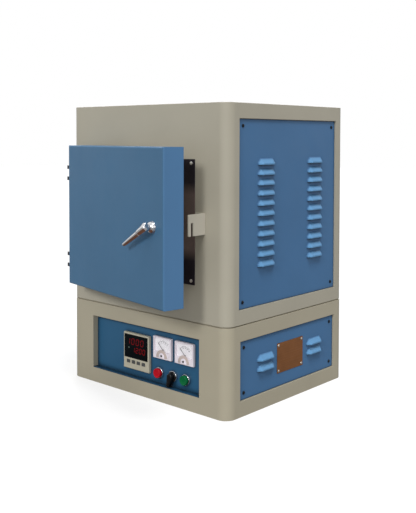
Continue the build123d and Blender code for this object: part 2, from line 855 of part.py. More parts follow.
arm_back = door_front_y - arm_y + arm_thickness / 2 + arm_boss
spindle_end = lever_rise + lever_thickness - lever_cap
with BuildPart() as latch_spindle:
    with BuildSketch(door_face.offset(spindle_end)):
        with Locations((hub_x, hub_z)):
            Circle(spindle_radius)
    extrude(amount=-(spindle_end + arm_back + spindle_nut[1]))
    with BuildSketch(door_face.offset(-arm_back)):
        with Locations((hub_x, hub_z)):
            RegularPolygon(spindle_nut[0], 6)
    extrude(amount=-spindle_nut[1])
save(latch_spindle, "latch_spindle")


def along_lever(distance):
    """A point on the lever's centre line, that far from the spindle."""
    turn = radians(lever_angle)
    return (hub_x + distance * cos(turn), hub_z + distance * sin(turn))


def lever_stretch(plane, start, end, thickness, bevel):
    """One bevelled stretch of the lever, tapering from one round end to the other."""
    with BuildPart() as stretch:
        with BuildSketch(plane) as outline:
            with Locations(along_lever(start[0])):
                Circle(start[1])
            with Locations(along_lever(end[0])):
                Circle(end[1])
            make_hull()
        extrude(amount=thickness)
        chamfer(stretch.faces().sort_by(outward)[-1].edges(), bevel)
    return stretch.part


waist = (lever_head_end, lever_waist_radius)
head_part = lever_stretch(
    door_face.offset(lever_rise), (0, lever_head_radius), waist, lever_thickness, lever_head_bevel
)
blade_face = door_face.offset(lever_rise + lever_blade_rise)
tip_end = (lever_length, lever_tip_radius)
blade_part = lever_stretch(blade_face, waist, tip_end, lever_blade_thickness, lever_blade_bevel)
with BuildPart() as handle_lever:
    add(head_part)
    add(blade_part)
    with BuildSketch(door_face.offset(lever_rise)):
        with Locations((hub_x, hub_z)):
            Circle(spindle_radius + lever_neck)
    extrude(amount=-(lever_rise - rosette_height - fit_gap))
    with BuildSketch(door_face.offset(rosette_height)):
        with Locations((hub_x, hub_z)):
            Circle(spindle_radius + press_play)
    extrude(amount=lever_rise - rosette_height + lever_thickness - lever_cap, mode=Mode.SUBTRACT)
save(handle_lever, "handle_lever")

with BuildPart() as latch_arm:
    arm_front = hung(Plane.XZ.offset(arm_y + arm_thickness / 2))
    with BuildSketch(arm_front.offset(fit_gap)):
        with Locations((hub_x, hub_z)):
            Circle(arm_hub_radius)
    extrude(amount=-(arm_thickness + arm_boss + fit_gap))
    with BuildSketch(arm_front):
        with Locations(Location((hub_x, hub_z, 0), (0, 0, arm_angle))):
            with Locations((arm_reach / 2, 0)):
                SlotOverall(arm_reach + arm_width, arm_width)
    extrude(amount=-arm_thickness)
    with BuildSketch(arm_front.offset(fit_gap)):
        with Locations((hub_x, hub_z)):
            Circle(spindle_radius + press_play)
    extrude(amount=-(arm_thickness + arm_boss + fit_gap), mode=Mode.SUBTRACT)
save(latch_arm, "latch_arm")

# ================================================================ control panel
switch_spots = [(stop_x, switch_z), (selector_x, switch_z), (start_x, switch_z)]

with BuildPart() as control_panel:
    with BuildSketch(control_face):
        with Locations((0, control_centre)):
            Rectangle(control_opening[0] + 2 * control_margin, control_opening[1] + 2 * control_margin)
        with Locations(controller_spot):
            Rectangle(controller_body[0] + 1, controller_body[0] + 1, mode=Mode.SUBTRACT)
        with Locations(*meter_spots):
            Circle(meter_body_radius + fit_gap, mode=Mode.SUBTRACT)
        with Locations(*switch_spots):
            Circle(barrel_radius + hole_play, mode=Mode.SUBTRACT)
    extrude(amount=-sheet)
    lip_bottom = control_centre - control_opening[1] / 2
    with BuildSketch(control_face):
        with Locations((0, lip_bottom + sheet / 2)):
            Rectangle(control_opening[0] - 2 * control_lip_gap, sheet)
    extrude(amount=control_lip)
save(control_panel, "control_panel")

key_spots = [
    (controller_spot[0] + key_pitch * (i - 1.5), controller_spot[1] - key_drop) for i in range(4)
]
controller_face = control_face.offset(controller_proud)
window_spot = (controller_spot[0], controller_spot[1] + window_rise)

with BuildPart() as controller_case:
    with BuildSketch(control_face):
        with Locations(controller_spot):
            Rectangle(controller_size, controller_size)
    extrude(amount=controller_proud)
    chamfer(controller_case.faces().sort_by(Axis.Y)[0].edges(), case_bevel)
    with BuildSketch(control_face):
        with Locations(controller_spot):
            Rectangle(controller_body[0], controller_body[0])
    extrude(amount=-controller_body[1])
    with BuildSketch(controller_face):
        with Locations(window_spot):
            Rectangle(window_size[0] + 2 * window_play, window_size[1] + 2 * window_play)
    extrude(amount=-window_thickness, mode=Mode.SUBTRACT)
    with BuildSketch(controller_face):
        with Locations(*key_spots):
            Rectangle(key_size[0] + 2 * key_play, key_size[1] + 2 * key_play)
    extrude(amount=-(key_depth + key_travel + key_play), mode=Mode.SUBTRACT)
save(controller_case, "controller_case")

with BuildPart() as controller_window:
    with BuildSketch(controller_face):
        with Locations(window_spot):
            Rectangle(*window_size)
    extrude(amount=-window_thickness)
save(controller_window, "controller_window")

for number, spot in enumerate(key_spots, start=1):
    with BuildPart() as key:
        with BuildSketch(controller_face.offset(key_proud)):
            with Locations(spot):
                Rectangle(*key_size)
        extrude(amount=-(key_proud + key_depth))
        chamfer(key.faces().sort_by(Axis.Y)[0].edges(), key_bevel)
    save(key, f"controller_key_{number}")

meter_face = control_face.offset(meter_proud)
pivot_spots = [(x, z - pointer_drop) for x, z in meter_spots]
glass_spots = [(x, z + meter_window_rise) for x, z in meter_spots]

with BuildPart() as meter_cases:
    with BuildSketch(control_face):
        with Locations(*meter_spots):
            Rectangle(*meter_size)
    extrude(amount=meter_proud)
    chamfer(meter_cases.faces().group_by(Axis.Y)[0].edges(), case_bevel)
    with BuildSketch(control_face):
        with Locations(*meter_spots):
            Circle(meter_body_radius)
    extrude(amount=-meter_body_depth)
    with BuildSketch(meter_face):
        with Locations(*glass_spots):
            Rectangle(meter_window[0] + 2 * window_play, meter_window[1] + 2 * window_play)
    extrude(amount=-meter_pocket, mode=Mode.SUBTRACT)
    with BuildSketch(meter_face):
        with Locations(*pivot_spots):
            Circle(pivot_radius + pin_play)
    extrude(amount=-(meter_pocket + pivot_depth + 1), mode=Mode.SUBTRACT)
save(meter_cases, "meter_cases")

for name, pivot in zip(("ammeter_pointer", "voltmeter_pointer"), pivot_spots):
    with BuildPart() as pointer:
        with BuildSketch(meter_face.offset(-pointer_depth)):
            with Locations(pivot):
                Circle(pointer_hub)
            with Locations(Location((*pivot, 0), (0, 0, pointer_start))):
                with Locations(((pointer_length - pointer_tail) / 2, 0)):
                    Rectangle(pointer_length + pointer_tail, pointer_width)
        extrude(amount=-pivot_radius)
        with BuildSketch(meter_face.offset(-pointer_depth)):
            with Locations(pivot):
                Circle(pivot_radius)
        extrude(amount=-(meter_pocket - pointer_depth + pivot_depth))
    save(pointer, name)

with BuildPart() as meter_windows:
    with BuildSketch(meter_face.offset(-1)):
        with Locations(*glass_spots):
            Rectangle(*meter_window)
    extrude(amount=-meter_glass)
save(meter_windows, "meter_windows")

with BuildPart() as switch_bezels:
    with BuildSketch(control_face):
        with Locations(*switch_spots):
            Circle(bezel_radius)
    extrude(amount=bezel_height, taper=bezel_taper)
    with BuildSketch(control_face):
        with Locations(*switch_spots):
            Circle(barrel_radius)
    extrude(amount=-barrel_depth)
    with BuildSketch(control_face):
        with Locations(*switch_spots):
            Circle(cap_radius + cap_play)
    extrude(amount=bezel_height, mode=Mode.SUBTRACT)
    with BuildSketch(control_face):
        with Locations(*switch_spots):
            Circle(barrel_bore)
    extrude(amount=-barrel_depth, mode=Mode.SUBTRACT)
save(switch_bezels, "switch_bezels")

with BuildPart() as switch_blocks:
    with BuildSketch(control_face.offset(-barrel_depth)):
        with Locations(*switch_spots):
            Rectangle(block_size[0], block_size[1])
    extrude(amount=-block_size[2])
save(switch_blocks, "switch_blocks")

stem_length = barrel_depth - cap_travel - fit_gap
for name, x in (("stop_button", stop_x), ("start_button", start_x)):
    with BuildPart() as button:
        cap_bottom = control_face.offset(cap_travel + fit_gap)
        with BuildSketch(cap_bottom):
            with Locations((x, switch_z)):
                Circle(cap_radius)
        extrude(amount=cap_height - cap_travel - fit_gap)
        chamfer(button.faces().sort_by(Axis.Y)[0].edges(), cap_bevel)
        with BuildSketch(cap_bottom):
            with Locations((x, switch_z)):
                Circle(barrel_bore - cap_play)
        extrude(amount=-(stem_length + cap_travel + fit_gap))
    save(button, name)

with BuildPart() as selector_knob:
    with BuildSketch(control_face.offset(fit_gap)):
        with Locations((selector_x, switch_z)):
            Circle(cap_radius)
    extrude(amount=hub_height)
    with BuildSketch(control_face.offset(bezel_height + fit_gap)) as grip:
        with Locations(Location((selector_x, switch_z, 0), (0, 0, selector_angle))):
            with Locations((grip_hub - grip_tail, 0)):
                Circle(grip_hub)
            with Locations((grip_length - grip_tip, 0)):
                Circle(grip_tip)
        make_hull()
    extrude(amount=grip_height - bezel_height)
    chamfer(selector_knob.faces().sort_by(Axis.Y)[0].edges(), cap_bevel)
    with BuildSketch(control_face.offset(fit_gap)):
        with Locations((selector_x, switch_z)):
            Circle(barrel_bore - cap_play)
    extrude(amount=-(barrel_depth - fit_gap))
save(selector_knob, "selector_knob")

# ================================================================ inside the base
with BuildPart() as cable_gland:
    gland_spot = (-gland_x, gland_z)
    with BuildSketch(rear_lower_face):
        with Locations(gland_spot):
            RegularPolygon(gland_hexagon, 6)
    extrude(amount=gland_body)
    with BuildSketch(rear_lower_face.offset(gland_body)):
        with Locations(gland_spot):
            Circle(gland_radius)
    extrude(amount=gland_cap, taper=gland_taper)
    with BuildSketch(rear_lower_face):
        with Locations(gland_spot):
            Circle(gland_thread)
    extrude(amount=-gland_tail)
    with BuildSketch(rear_lower_face.offset(-panel_sheet)):
        with Locations(gland_spot):
            RegularPolygon(gland_hexagon, 6)
    extrude(amount=-gland_nut)
    with BuildSketch(rear_lower_face.offset(gland_body + gland_cap)):
        with Locations(gland_spot):
            Circle(gland_bore)
    extrude(amount=-(gland_body + gland_cap + gland_tail), mode=Mode.SUBTRACT)
save(cable_gland, "cable_gland")

with BuildPart() as power_module:
    with BuildSketch(Plane.XZ.offset(-sink_spot[1] - sink_size[1] / 2)):
        with Locations((sink_spot[0], 2 * sheet + sink_foot / 2)):
            Rectangle(sink_size[0], sink_foot)
        fin_step = (sink_size[0] - fin_thickness) / (fin_count - 1)
        with Locations((sink_spot[0], 2 * sheet + sink_size[2] / 2)):
            with GridLocations(fin_step, 0, fin_count, 1):
                Rectangle(fin_thickness, sink_size[2])
    extrude(amount=sink_size[1])
    with BuildSketch(Plane.XY.offset(2 * sheet + sink_size[2])):
        with Locations(sink_spot):
            Rectangle(sink_size[0], module_size[0])
    extrude(amount=module_size[1])
save(power_module, "power_module")

with BuildPart() as terminal_block:
    with BuildSketch(tray_top):
        with Locations(block_spot):
            Rectangle(block_strip[0], block_strip[1])
    extrude(amount=block_strip[2])
    with BuildSketch(Plane.XY.offset(2 * sheet + block_strip[2])):
        with Locations(block_spot):
            with GridLocations(block_strip[0] / (block_poles + 1), block_strip[1] / 2, block_poles, 2):
                Rectangle(block_well, block_well)
    extrude(amount=-block_well, mode=Mode.SUBTRACT)
save(terminal_block, "terminal_block")

with BuildPart() as transformer:
    with BuildSketch(tray_top):
        with Locations(transformer_spot):
            Rectangle(transformer_core[0], transformer_core[1])
    extrude(amount=transformer_core[2])
    with BuildSketch(Plane.XY.offset(2 * sheet + (transformer_core[2] - transformer_coil[2]) / 2)):
        with Locations(transformer_spot):
            RectangleRounded(transformer_coil[0], transformer_coil[1], coil_corner)
    extrude(amount=transformer_coil[2])
save(transformer, "transformer")
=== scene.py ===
"""Bench muffle furnace: its finishes, its small fittings and the studio it stands in.

Metres, +Z up, the front faces -Y. The door hangs on the left and stands ajar at rest, so what sits on
the door is worked out with the door shut and then swung about its hinge pins.
"""

import bmesh
import bpy
import numpy as np
from mathutils import Matrix, Vector


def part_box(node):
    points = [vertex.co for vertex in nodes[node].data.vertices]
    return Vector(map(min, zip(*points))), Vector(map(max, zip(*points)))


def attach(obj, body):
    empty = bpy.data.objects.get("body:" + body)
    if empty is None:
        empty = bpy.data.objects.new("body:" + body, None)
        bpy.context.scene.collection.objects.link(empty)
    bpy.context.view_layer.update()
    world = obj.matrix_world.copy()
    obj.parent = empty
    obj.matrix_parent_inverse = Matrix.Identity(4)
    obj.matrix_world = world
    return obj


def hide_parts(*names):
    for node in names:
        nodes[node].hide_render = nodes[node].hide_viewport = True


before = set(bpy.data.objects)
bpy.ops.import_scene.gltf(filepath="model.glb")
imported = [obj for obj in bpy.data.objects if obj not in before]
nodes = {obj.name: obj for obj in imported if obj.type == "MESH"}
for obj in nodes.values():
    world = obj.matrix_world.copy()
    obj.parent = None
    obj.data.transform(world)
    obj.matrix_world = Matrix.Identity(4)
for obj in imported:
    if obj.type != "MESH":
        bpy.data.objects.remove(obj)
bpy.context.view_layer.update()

# Which way the cabinet's faces look
TO_FRONT, TO_REAR, TO_RIGHT = (0.0, -1.0, 0.0), (0.0, 1.0, 0.0), (1.0, 0.0, 0.0)

# Places shared with the solid pieces: how far out the panels' faces lie, where the door hangs, and the
# chamber's height
PANEL_FACE = -0.2362
SIDE_FACE, LOWER_SIDE_FACE = 0.284, 0.2847
REAR_FACE, LOWER_REAR_FACE = 0.248, 0.2487
CHAMBER_Z = 0.4695
HINGE = np.array([-0.234, -0.294, 0.0])
AJAR = np.radians(10.5)
DOOR_FRONT = -0.317
HUB = (0.192, DOOR_FRONT, 0.469)

# The door as it stands ajar: the direction across it, and how far along that its free edge lies
DOOR_REACH = 0.471
DOOR_ACROSS = (np.cos(AJAR), -np.sin(AJAR), 0.0)
DOOR_EDGE = DOOR_REACH + HINGE @ DOOR_ACROSS

WELD = 1e-7


# ---------------------------------------------------------------- shapes
def welded(shell, mesh):
    """Points that coincide are joined, every face is turned outward, and the result is put into the mesh."""
    bmesh.ops.remove_doubles(shell, verts=shell.verts, dist=WELD)
    bmesh.ops.recalc_face_normals(shell, faces=shell.faces)
    shell.to_mesh(mesh)
    shell.free()


def grid_piece(name, points, closed=False, finish=None, smooth=True):
    """A surface from one grid of points or several; closed joins the last column to the first."""
    points = np.asarray(points, float)
    if points.ndim == 3:
        points = points[None]
    count, rows, columns, _ = points.shape
    index = np.arange(count * rows * columns).reshape(count, rows, columns)
    if closed:
        index = np.concatenate([index, index[:, :, :1]], axis=2)
    corners = [index[:, :-1, :-1], index[:, 1:, :-1], index[:, 1:, 1:], index[:, :-1, 1:]]
    quads = np.stack(corners, axis=-1).reshape(-1, 4)
    mesh = bpy.data.meshes.new(name)
    mesh.vertices.add(count * rows * columns)
    mesh.vertices.foreach_set("co", points.astype(np.float32).ravel())
    mesh.loops.add(quads.size)
    mesh.loops.foreach_set("vertex_index", quads.astype(np.int32).ravel())
    mesh.polygons.add(len(quads))
    mesh.polygons.foreach_set("loop_start", np.arange(0, quads.size, 4, dtype=np.int32))
    mesh.polygons.foreach_set("use_smooth", np.full(len(quads), smooth))
    mesh.update(calc_edges=True)
    shell = bmesh.new()
    shell.from_mesh(mesh)
    welded(shell, mesh)
    piece = bpy.data.objects.new(name, mesh)
    bpy.context.scene.collection.objects.link(piece)
    if finish:
        mesh.materials.append(finish.material)
    return piece


def hang(points):
    """Points given with the door shut, turned about the hinge pins to where the door stands ajar."""
    x, y, z = np.moveaxis(np.asarray(points, float) - HINGE, -1, 0)
    c, s = np.cos(AJAR), np.sin(AJAR)
    return np.stack([x * c + y * s, y * c - x * s, z], -1) + HINGE


def facing(points, place, out):
    """Points (across, up, out) stood on an upright face: place + x (up cross out) + y up + z out."""
    up, out = np.array([0.0, 0.0, 1.0]), np.asarray(out, float)
    across = np.cross(up, out)
    return np.asarray(place) + points[..., :1] * across + points[..., 1:2] * up + points[..., 2:] * out


def turned(name, profile, places, out, finish, sides=48, swung=False):
    """A profile of (radius, height) carried round its axis: (r cos a, r sin a, h), stood at each place."""
    profile = np.asarray(profile, float)
    angle = np.linspace(0, 2 * np.pi, sides, endpoint=False)
    radius, height = profile[:, :1], profile[:, 1:]
    ring = np.stack([radius * np.cos(angle), radius * np.sin(angle), height + 0 * angle], -1)
    grids = np.stack([facing(ring, place, out) for place in places])
    return grid_piece(name, hang(grids) if swung else grids, closed=True, finish=finish)


# A rounded corner takes up at most this share of the edges beside it
SHARE_OF_EDGE = 0.45


def rounded(corner_points, radius, steps=5):
    """A profile whose inner corners are replaced by quadratic arcs: (1-t)^2 a + 2t(1-t) b + t^2 c."""
    points = np.asarray(corner_points, float)
    t = np.linspace(0, 1, steps)[:, None]
    pieces = [points[:1]]
    for before, here, after in zip(points[:-2], points[1:-1], points[2:]):
        back, ahead = before - here, after - here
        back_length, ahead_length = np.hypot(*back), np.hypot(*ahead)
        reach = min(radius, SHARE_OF_EDGE * back_length, SHARE_OF_EDGE * ahead_length)
        start, end = here + back / back_length * reach, here + ahead / ahead_length * reach
        pieces.append((1 - t) ** 2 * start + 2 * t * (1 - t) * here + t ** 2 * end)
    return np.concatenate(pieces + [points[-1:]])


# Pan heads, as shares of their radius and height: rings over the dome, then the rim's rings with their levels
DOME_RINGS = np.linspace(0, 0.94, 15)
RIM_RINGS, RIM_LEVELS = np.array([1.0, 1.0, 0.98]), np.array([0.528, 0.0, 0.0])
DOME_FALL = 0.4
CROSS_HALF_WIDTH, CROSS_WALL = 0.085, 1.6
CROSS_REACH, CROSS_END, CROSS_DEPTH = 0.66, 0.12, 0.5


def cross_heads(name, places, out, radius, height, finish):
    """Pan heads: h = H (1 - 0.4 (r/R)^2), less a cross where one of |x|, |y| is small and the other < 0.66 R."""
    angle = np.linspace(0, 2 * np.pi, 40, endpoint=False)[None]
    share = np.concatenate([DOME_RINGS, RIM_RINGS])[:, None]
    x, y = share * np.cos(angle), share * np.sin(angle)
    arm = np.clip(CROSS_WALL - np.minimum(abs(x), abs(y)) / CROSS_HALF_WIDTH, 0, 1)
    tip = np.clip((CROSS_REACH - np.maximum(abs(x), abs(y))) / CROSS_END, 0, 1)
    level = 1 - DOME_FALL * share ** 2 - CROSS_DEPTH * arm * tip
    level[len(DOME_RINGS):] = RIM_LEVELS[:, None]
    ring = np.stack([radius * x, radius * y, height * level], -1)
    grids = np.stack([facing(ring, place, out) for place in places])
    return grid_piece(name, grids, closed=True, finish=finish)


def outline_shell(name, outline, steps, place, out, finish, smooth=True):
    """An outline drawn inward by each step's inset at its height, and closed at both ends by its middle."""
    outline = np.asarray(outline, float)
    ahead, behind = np.roll(outline, -1, 0), np.roll(outline, 1, 0)
    along = (ahead - behind) / np.linalg.norm(ahead - behind, axis=1, keepdims=True)
    inward = np.stack([-along[:, 1], along[:, 0]], -1)
    count = len(outline)
    rows = [
        np.concatenate([outline + inward * inset, np.full((count, 1), height)], 1)
        for inset, height in steps
    ]
    first, last = (np.tile([*outline.mean(0), steps[k][1]], (count, 1)) for k in (0, -1))
    grid = facing(np.stack([first, *rows, last]), place, out)
    return grid_piece(name, grid, closed=True, finish=finish, smooth=smooth)


# A direction that no wire runs along
OFF_THE_PATH = (0.0, 0.31, 0.95)


def tube(name, paths, radius, finish, sides=6):
    """Round wire: each path point plus radius times (cos b, sin b) in the plane square to the path."""
    paths = np.asarray(paths, float)
    along = np.gradient(paths, axis=1)
    along /= np.linalg.norm(along, axis=-1, keepdims=True)
    aside = np.cross(along, OFF_THE_PATH)
    aside /= np.linalg.norm(aside, axis=-1, keepdims=True)
    above = np.cross(aside, along)
    turn = np.linspace(0, 2 * np.pi, sides, endpoint=False)[:, None]
    skin = paths[:, :, None] + radius * (np.cos(turn) * aside[:, :, None] + np.sin(turn) * above[:, :, None])
    first, last = (np.repeat(paths[:, [k], None], sides, 2) for k in (0, -1))
    return grid_piece(name, np.concatenate([first, skin, last], 1), closed=True, finish=finish)


# ---------------------------------------------------------------- finishes
def linear(r, g, b):
    """A paint chip read in display numbers 0 to 255, as scene-linear colour."""
    v = np.array([r, g, b], float) / 255.0
    return (*np.where(v <= 0.04045, v / 12.92, ((v + 0.055) / 1.055) ** 2.4), 1.0)


def scaled(colour, gain):
    """A colour made lighter or darker, and kept within full white."""
    return (*(min(1.0, c * gain) for c in colour[:3]), 1.0)


class Finish:
    """A material under construction: a Principled surface and the nodes that feed it."""

    def __init__(self, name, colour, roughness=0.5, metal=0.0):
        self.material = bpy.data.materials.new(name)
        self.material.use_nodes = True
        self.tree = self.material.node_tree
        self.surface = self.tree.nodes["Principled BSDF"]
        self.colour = colour
        self.surface.inputs["Base Color"].default_value = colour
        self.surface.inputs["Roughness"].default_value = roughness
        self.surface.inputs["Metallic"].default_value = metal
        self.place = self.tree.nodes.new("ShaderNodeTexCoord").outputs["Object"]
        self.material.diffuse_color = colour

    def shine(self, level):
        """How strongly the surface mirrors: 0.5 is plain plastic or paint."""
        self.surface.inputs["Specular IOR Level"].default_value = level

    def node(self, kind, **values):
        made = self.tree.nodes.new(kind)
        for key, value in values.items():
            setattr(made, key, value)
        return made

    def wire(self, start, end):
        self.tree.links.new(start, end)

    def stretched(self, scale):
        """Object coordinates stretched by a factor along each axis."""
        mapping = self.node("ShaderNodeMapping")
        mapping.inputs["Scale"].default_value = scale
        self.wire(self.place, mapping.inputs["Vector"])
        return mapping.outputs["Vector"]

    def noise(self, scale, detail=2.0, rough=0.5, source=None):
        made = self.node("ShaderNodeTexNoise")
        made.inputs["Scale"].default_value = scale
        made.inputs["Detail"].default_value = detail
        made.inputs["Roughness"].default_value = rough
        self.wire(source or self.place, made.inputs["Vector"])
        return made.outputs["Fac"]

    def remap(self, value, low, high, start=0.3, end=0.7):
        made = self.node("ShaderNodeMapRange")
        for key, number in (("From Min", start), ("From Max", end), ("To Min", low), ("To Max", high)):
            made.inputs[key].default_value = number
        self.wire(value, made.inputs["Value"])
        return made.outputs["Result"]

    def blend(self, factor, first, second):
        made = self.node("ShaderNodeMix", data_type="RGBA")
        for socket, value in ((made.inputs[6], first), (made.inputs[7], second)):
            if isinstance(value, tuple):
                socket.default_value = value
            else:
                self.wire(value, socket)
        self.wire(factor, made.inputs[0])
        return made.outputs[2]

    def cover(self, paint):
        """Paint that takes the place of the colour so far."""
        self.paint = paint
        self.wire(paint, self.surface.inputs["Base Color"])

    def mottle(self, scale, amount):
        """Colour that drifts a little lighter and darker over the surface."""
        dark, light = scaled(self.colour, 1 - amount), scaled(self.colour, 1 + amount)
        self.cover(self.blend(self.remap(self.noise(scale, 3.0), 0.0, 1.0), dark, light))

    def uneven_gloss(self, scale, low, high):
        self.wire(self.remap(self.noise(scale, 3.0), low, high), self.surface.inputs["Roughness"])

    def relief(self, height, strength, distance):
        """A bump from a height, laid over whatever relief is there already."""
        bump = self.node("ShaderNodeBump")
        bump.inputs["Strength"].default_value = strength
        bump.inputs["Distance"].default_value = distance
        self.wire(height, bump.inputs["Height"])
        normal = self.surface.inputs["Normal"]
        if normal.is_linked:
            self.wire(normal.links[0].from_socket, bump.inputs["Normal"])
        self.wire(bump.outputs["Normal"], normal)

    def along(self, direction, start, end, origin=0.0):
        """0 to 1 as the distance from an origin, either way along a direction, goes from start to end."""
        measured = self.node("ShaderNodeVectorMath", operation="DOT_PRODUCT")
        measured.inputs[1].default_value = direction
        self.wire(self.place, measured.inputs[0])
        shifted = self.node("ShaderNodeMath", operation="SUBTRACT")
        shifted.inputs[1].default_value = origin
        self.wire(measured.outputs["Value"], shifted.inputs[0])
        either_way = self.node("ShaderNodeMath", operation="ABSOLUTE")
        self.wire(shifted.outputs[0], either_way.inputs[0])
        return self.remap(either_way.outputs[0], 0.0, 1.0, start, end)

    def tint(self, factor, gain):
        """The paint so far, multiplied by a gain where the factor is 1."""
        changed = self.node("ShaderNodeVectorMath", operation="MULTIPLY")
        changed.inputs[1].default_value = gain
        self.wire(self.paint, changed.inputs[0])
        self.cover(self.blend(factor, self.paint, changed.outputs[0]))

    def crevices(self, distance, gain):
        """Painted shade where surfaces close in on each other, standing for the shadow there: full at half open,
        none at nearly open.
        """
        openness = self.node("ShaderNodeAmbientOcclusion", samples=8)
        openness.inputs["Distance"].default_value = distance
        self.tint(self.remap(openness.outputs["AO"], 1.0, 0.0, 0.5, 0.92), gain)

    def soft_edges(self, radius):
        """Edges that catch light as a painted fold does."""
        bevel = self.node("ShaderNodeBevel", samples=4)
        bevel.inputs["Radius"].default_value = radius
        self.wire(bevel.outputs["Normal"], self.surface.inputs["Normal"])


def enamel(name, colour, gloss=(0.36, 0.5), peel=0.12, mottling=0.035):
    """Stoved paint: a faint orange peel, slow drift of colour and gloss."""
    made = Finish(name, colour)
    made.soft_edges(0.0012)
    made.mottle(7.0, mottling)
    made.uneven_gloss(18.0, *gloss)
    made.relief(made.noise(620.0, 1.0), peel, 0.0004)
    made.shine(0.25)
    return made


def brushed(name, colour, roughness, grain=(400.0, 4.0, 400.0), depth=0.12, mottling=0.06):
    """Metal with a fine drawn grain along one direction."""
    made = Finish(name, colour, roughness, 1.0)
    made.soft_edges(0.0006)
    made.mottle(24.0, mottling)
    lines = made.noise(1.0, 3.0, 0.6, made.stretched(grain))
    gloss = made.remap(lines, roughness * 0.8, min(1.0, roughness * 1.3))
    made.wire(gloss, made.surface.inputs["Roughness"])
    made.relief(lines, depth, 0.0002)
    return made


def moulded(name, colour, roughness=0.4, grain=0.08, shine=0.5):
    """Moulded plastic with a fine spark-eroded grain."""
    made = Finish(name, colour)
    made.soft_edges(0.0005)
    made.mottle(40.0, 0.03)
    made.uneven_gloss(60.0, roughness * 0.85, roughness * 1.15)
    made.relief(made.noise(1500.0, 1.0), grain, 0.0002)
    made.shine(shine)
    return made


def fired(name, colour, grain=0.5, scale=160.0, mottling=0.08):
    """Fired or pressed refractory: matte, gritty, with small darker specks."""
    made = Finish(name, colour, 0.92)
    made.mottle(30.0, mottling)
    specks = made.remap(made.noise(scale * 2.2, 2.0), 0.0, 0.55, 0.62, 0.74)
    made.cover(made.blend(specks, made.paint, scaled(colour, 0.55)))
    made.relief(made.noise(scale, 4.0, 0.6), grain, 0.0012)
    return made


beige = enamel("beige_enamel", linear(168, 163, 148))
beige_keeper = enamel("beige_enamel_keeper", linear(192, 187, 174))
beige_base = enamel("beige_enamel_base", linear(168, 161, 142))

# The louvres' hoods stand out past the side panels' faces; they get a painted highlight that makes them paler,
# and what lies under them gets painted shade
HOOD_FOOT, HOOD_CREST = 0.2852, 0.2872
blue = enamel("blue_enamel", linear(66, 108, 150), (0.36, 0.48))
blue.tint(blue.along(TO_RIGHT, HOOD_FOOT, HOOD_CREST), (1.9, 1.75, 1.55))
blue.crevices(0.012, (0.06, 0.07, 0.1))

# The door's free edge is painted paler than its front, a painted highlight for the light that edge catches
EDGE_START, EDGE_FULL = DOOR_EDGE - 0.0014, DOOR_EDGE - 0.0006
blue_door = enamel("blue_enamel_door", linear(66, 106, 139), (0.34, 0.46))
blue_door.tint(blue_door.along(DOOR_ACROSS, EDGE_START, EDGE_FULL), (1.35, 1.26, 1.34))

# The control panel's lip, in front of its face, and its corners lie in shade
LIP_START, LIP_FULL = 0.2368, 0.2378
blue_control = enamel("blue_enamel_control", linear(41, 89, 123), (0.36, 0.48))
blue_control.tint(blue_control.along(TO_REAR, LIP_START, LIP_FULL), (0.6, 0.6, 0.6))
blue_control.crevices(0.016, (0.3, 0.3, 0.3))

# The mouth frame is brown beside the chamber's height and near black above and below it
TAN_END, BLACK_START = 0.066, 0.096
dark_frame = enamel("dark_enamel", linear(98, 84, 80), (0.3, 0.42), 0.05, 0.12)
dark_frame.tint(dark_frame.along((0, 0, 1), TAN_END, BLACK_START, CHAMBER_Z), (0.11, 0.12, 0.2))

# Metals. The same grain along every axis leaves small parts such as screws without a direction
sheet_steel = brushed("sheet_steel", linear(178, 178, 176), 0.38)
dark_steel = brushed("dark_steel", linear(74, 74, 76), 0.42)
chrome = Finish("chrome", linear(214, 214, 216), 0.12, 1.0)
chrome.uneven_gloss(90.0, 0.07, 0.17)
chrome.relief(chrome.noise(160.0, 2.0), 0.03, 0.0004)
chrome.soft_edges(0.0006)
screw_zinc = brushed("screw_steel", linear(96, 94, 92), 0.4, (300.0, 300.0, 300.0))
black_screw = brushed("blackened_screw", linear(44, 44, 46), 0.42, (300.0, 300.0, 300.0))
bright_screw = brushed("bright_screw", linear(214, 212, 206), 0.34, (300.0, 300.0, 300.0))
rivet_metal = brushed("rivet_aluminium", linear(190, 184, 174), 0.34, (200.0, 200.0, 200.0))
element_wire = brushed("element_wire", linear(92, 80, 72), 0.6, (120.0, 120.0, 120.0))
terminal_brass = brushed("terminal_brass", linear(186, 152, 92), 0.35)
plate_copper = brushed("copper_plate", linear(144, 97, 61), 0.5, (12.0, 5.0, 900.0), 0.08, 0.1)
module_metal = brushed("module_aluminium", linear(180, 182, 184), 0.4)
core_metal = brushed("core_laminations", linear(84, 76, 70), 0.6, (5.0, 900.0, 5.0), 0.3)

# Refractories, and the gasket's woven rope
muffle_clay = fired("muffle_refractory", linear(214, 204, 186))
fibre_board = fired("fibre_board", linear(226, 221, 208), 0.35, 420.0, 0.04)
rope = Finish("woven_fibre", linear(212, 206, 190), 0.95)
rope.mottle(60.0, 0.08)
weave = rope.node("ShaderNodeTexWave", wave_type="BANDS", bands_direction="DIAGONAL")
weave.inputs["Scale"].default_value = 160.0
weave.inputs["Distortion"].default_value = 3.0
rope.wire(rope.place, weave.inputs["Vector"])
rope.relief(weave.outputs["Fac"], 0.6, 0.001)

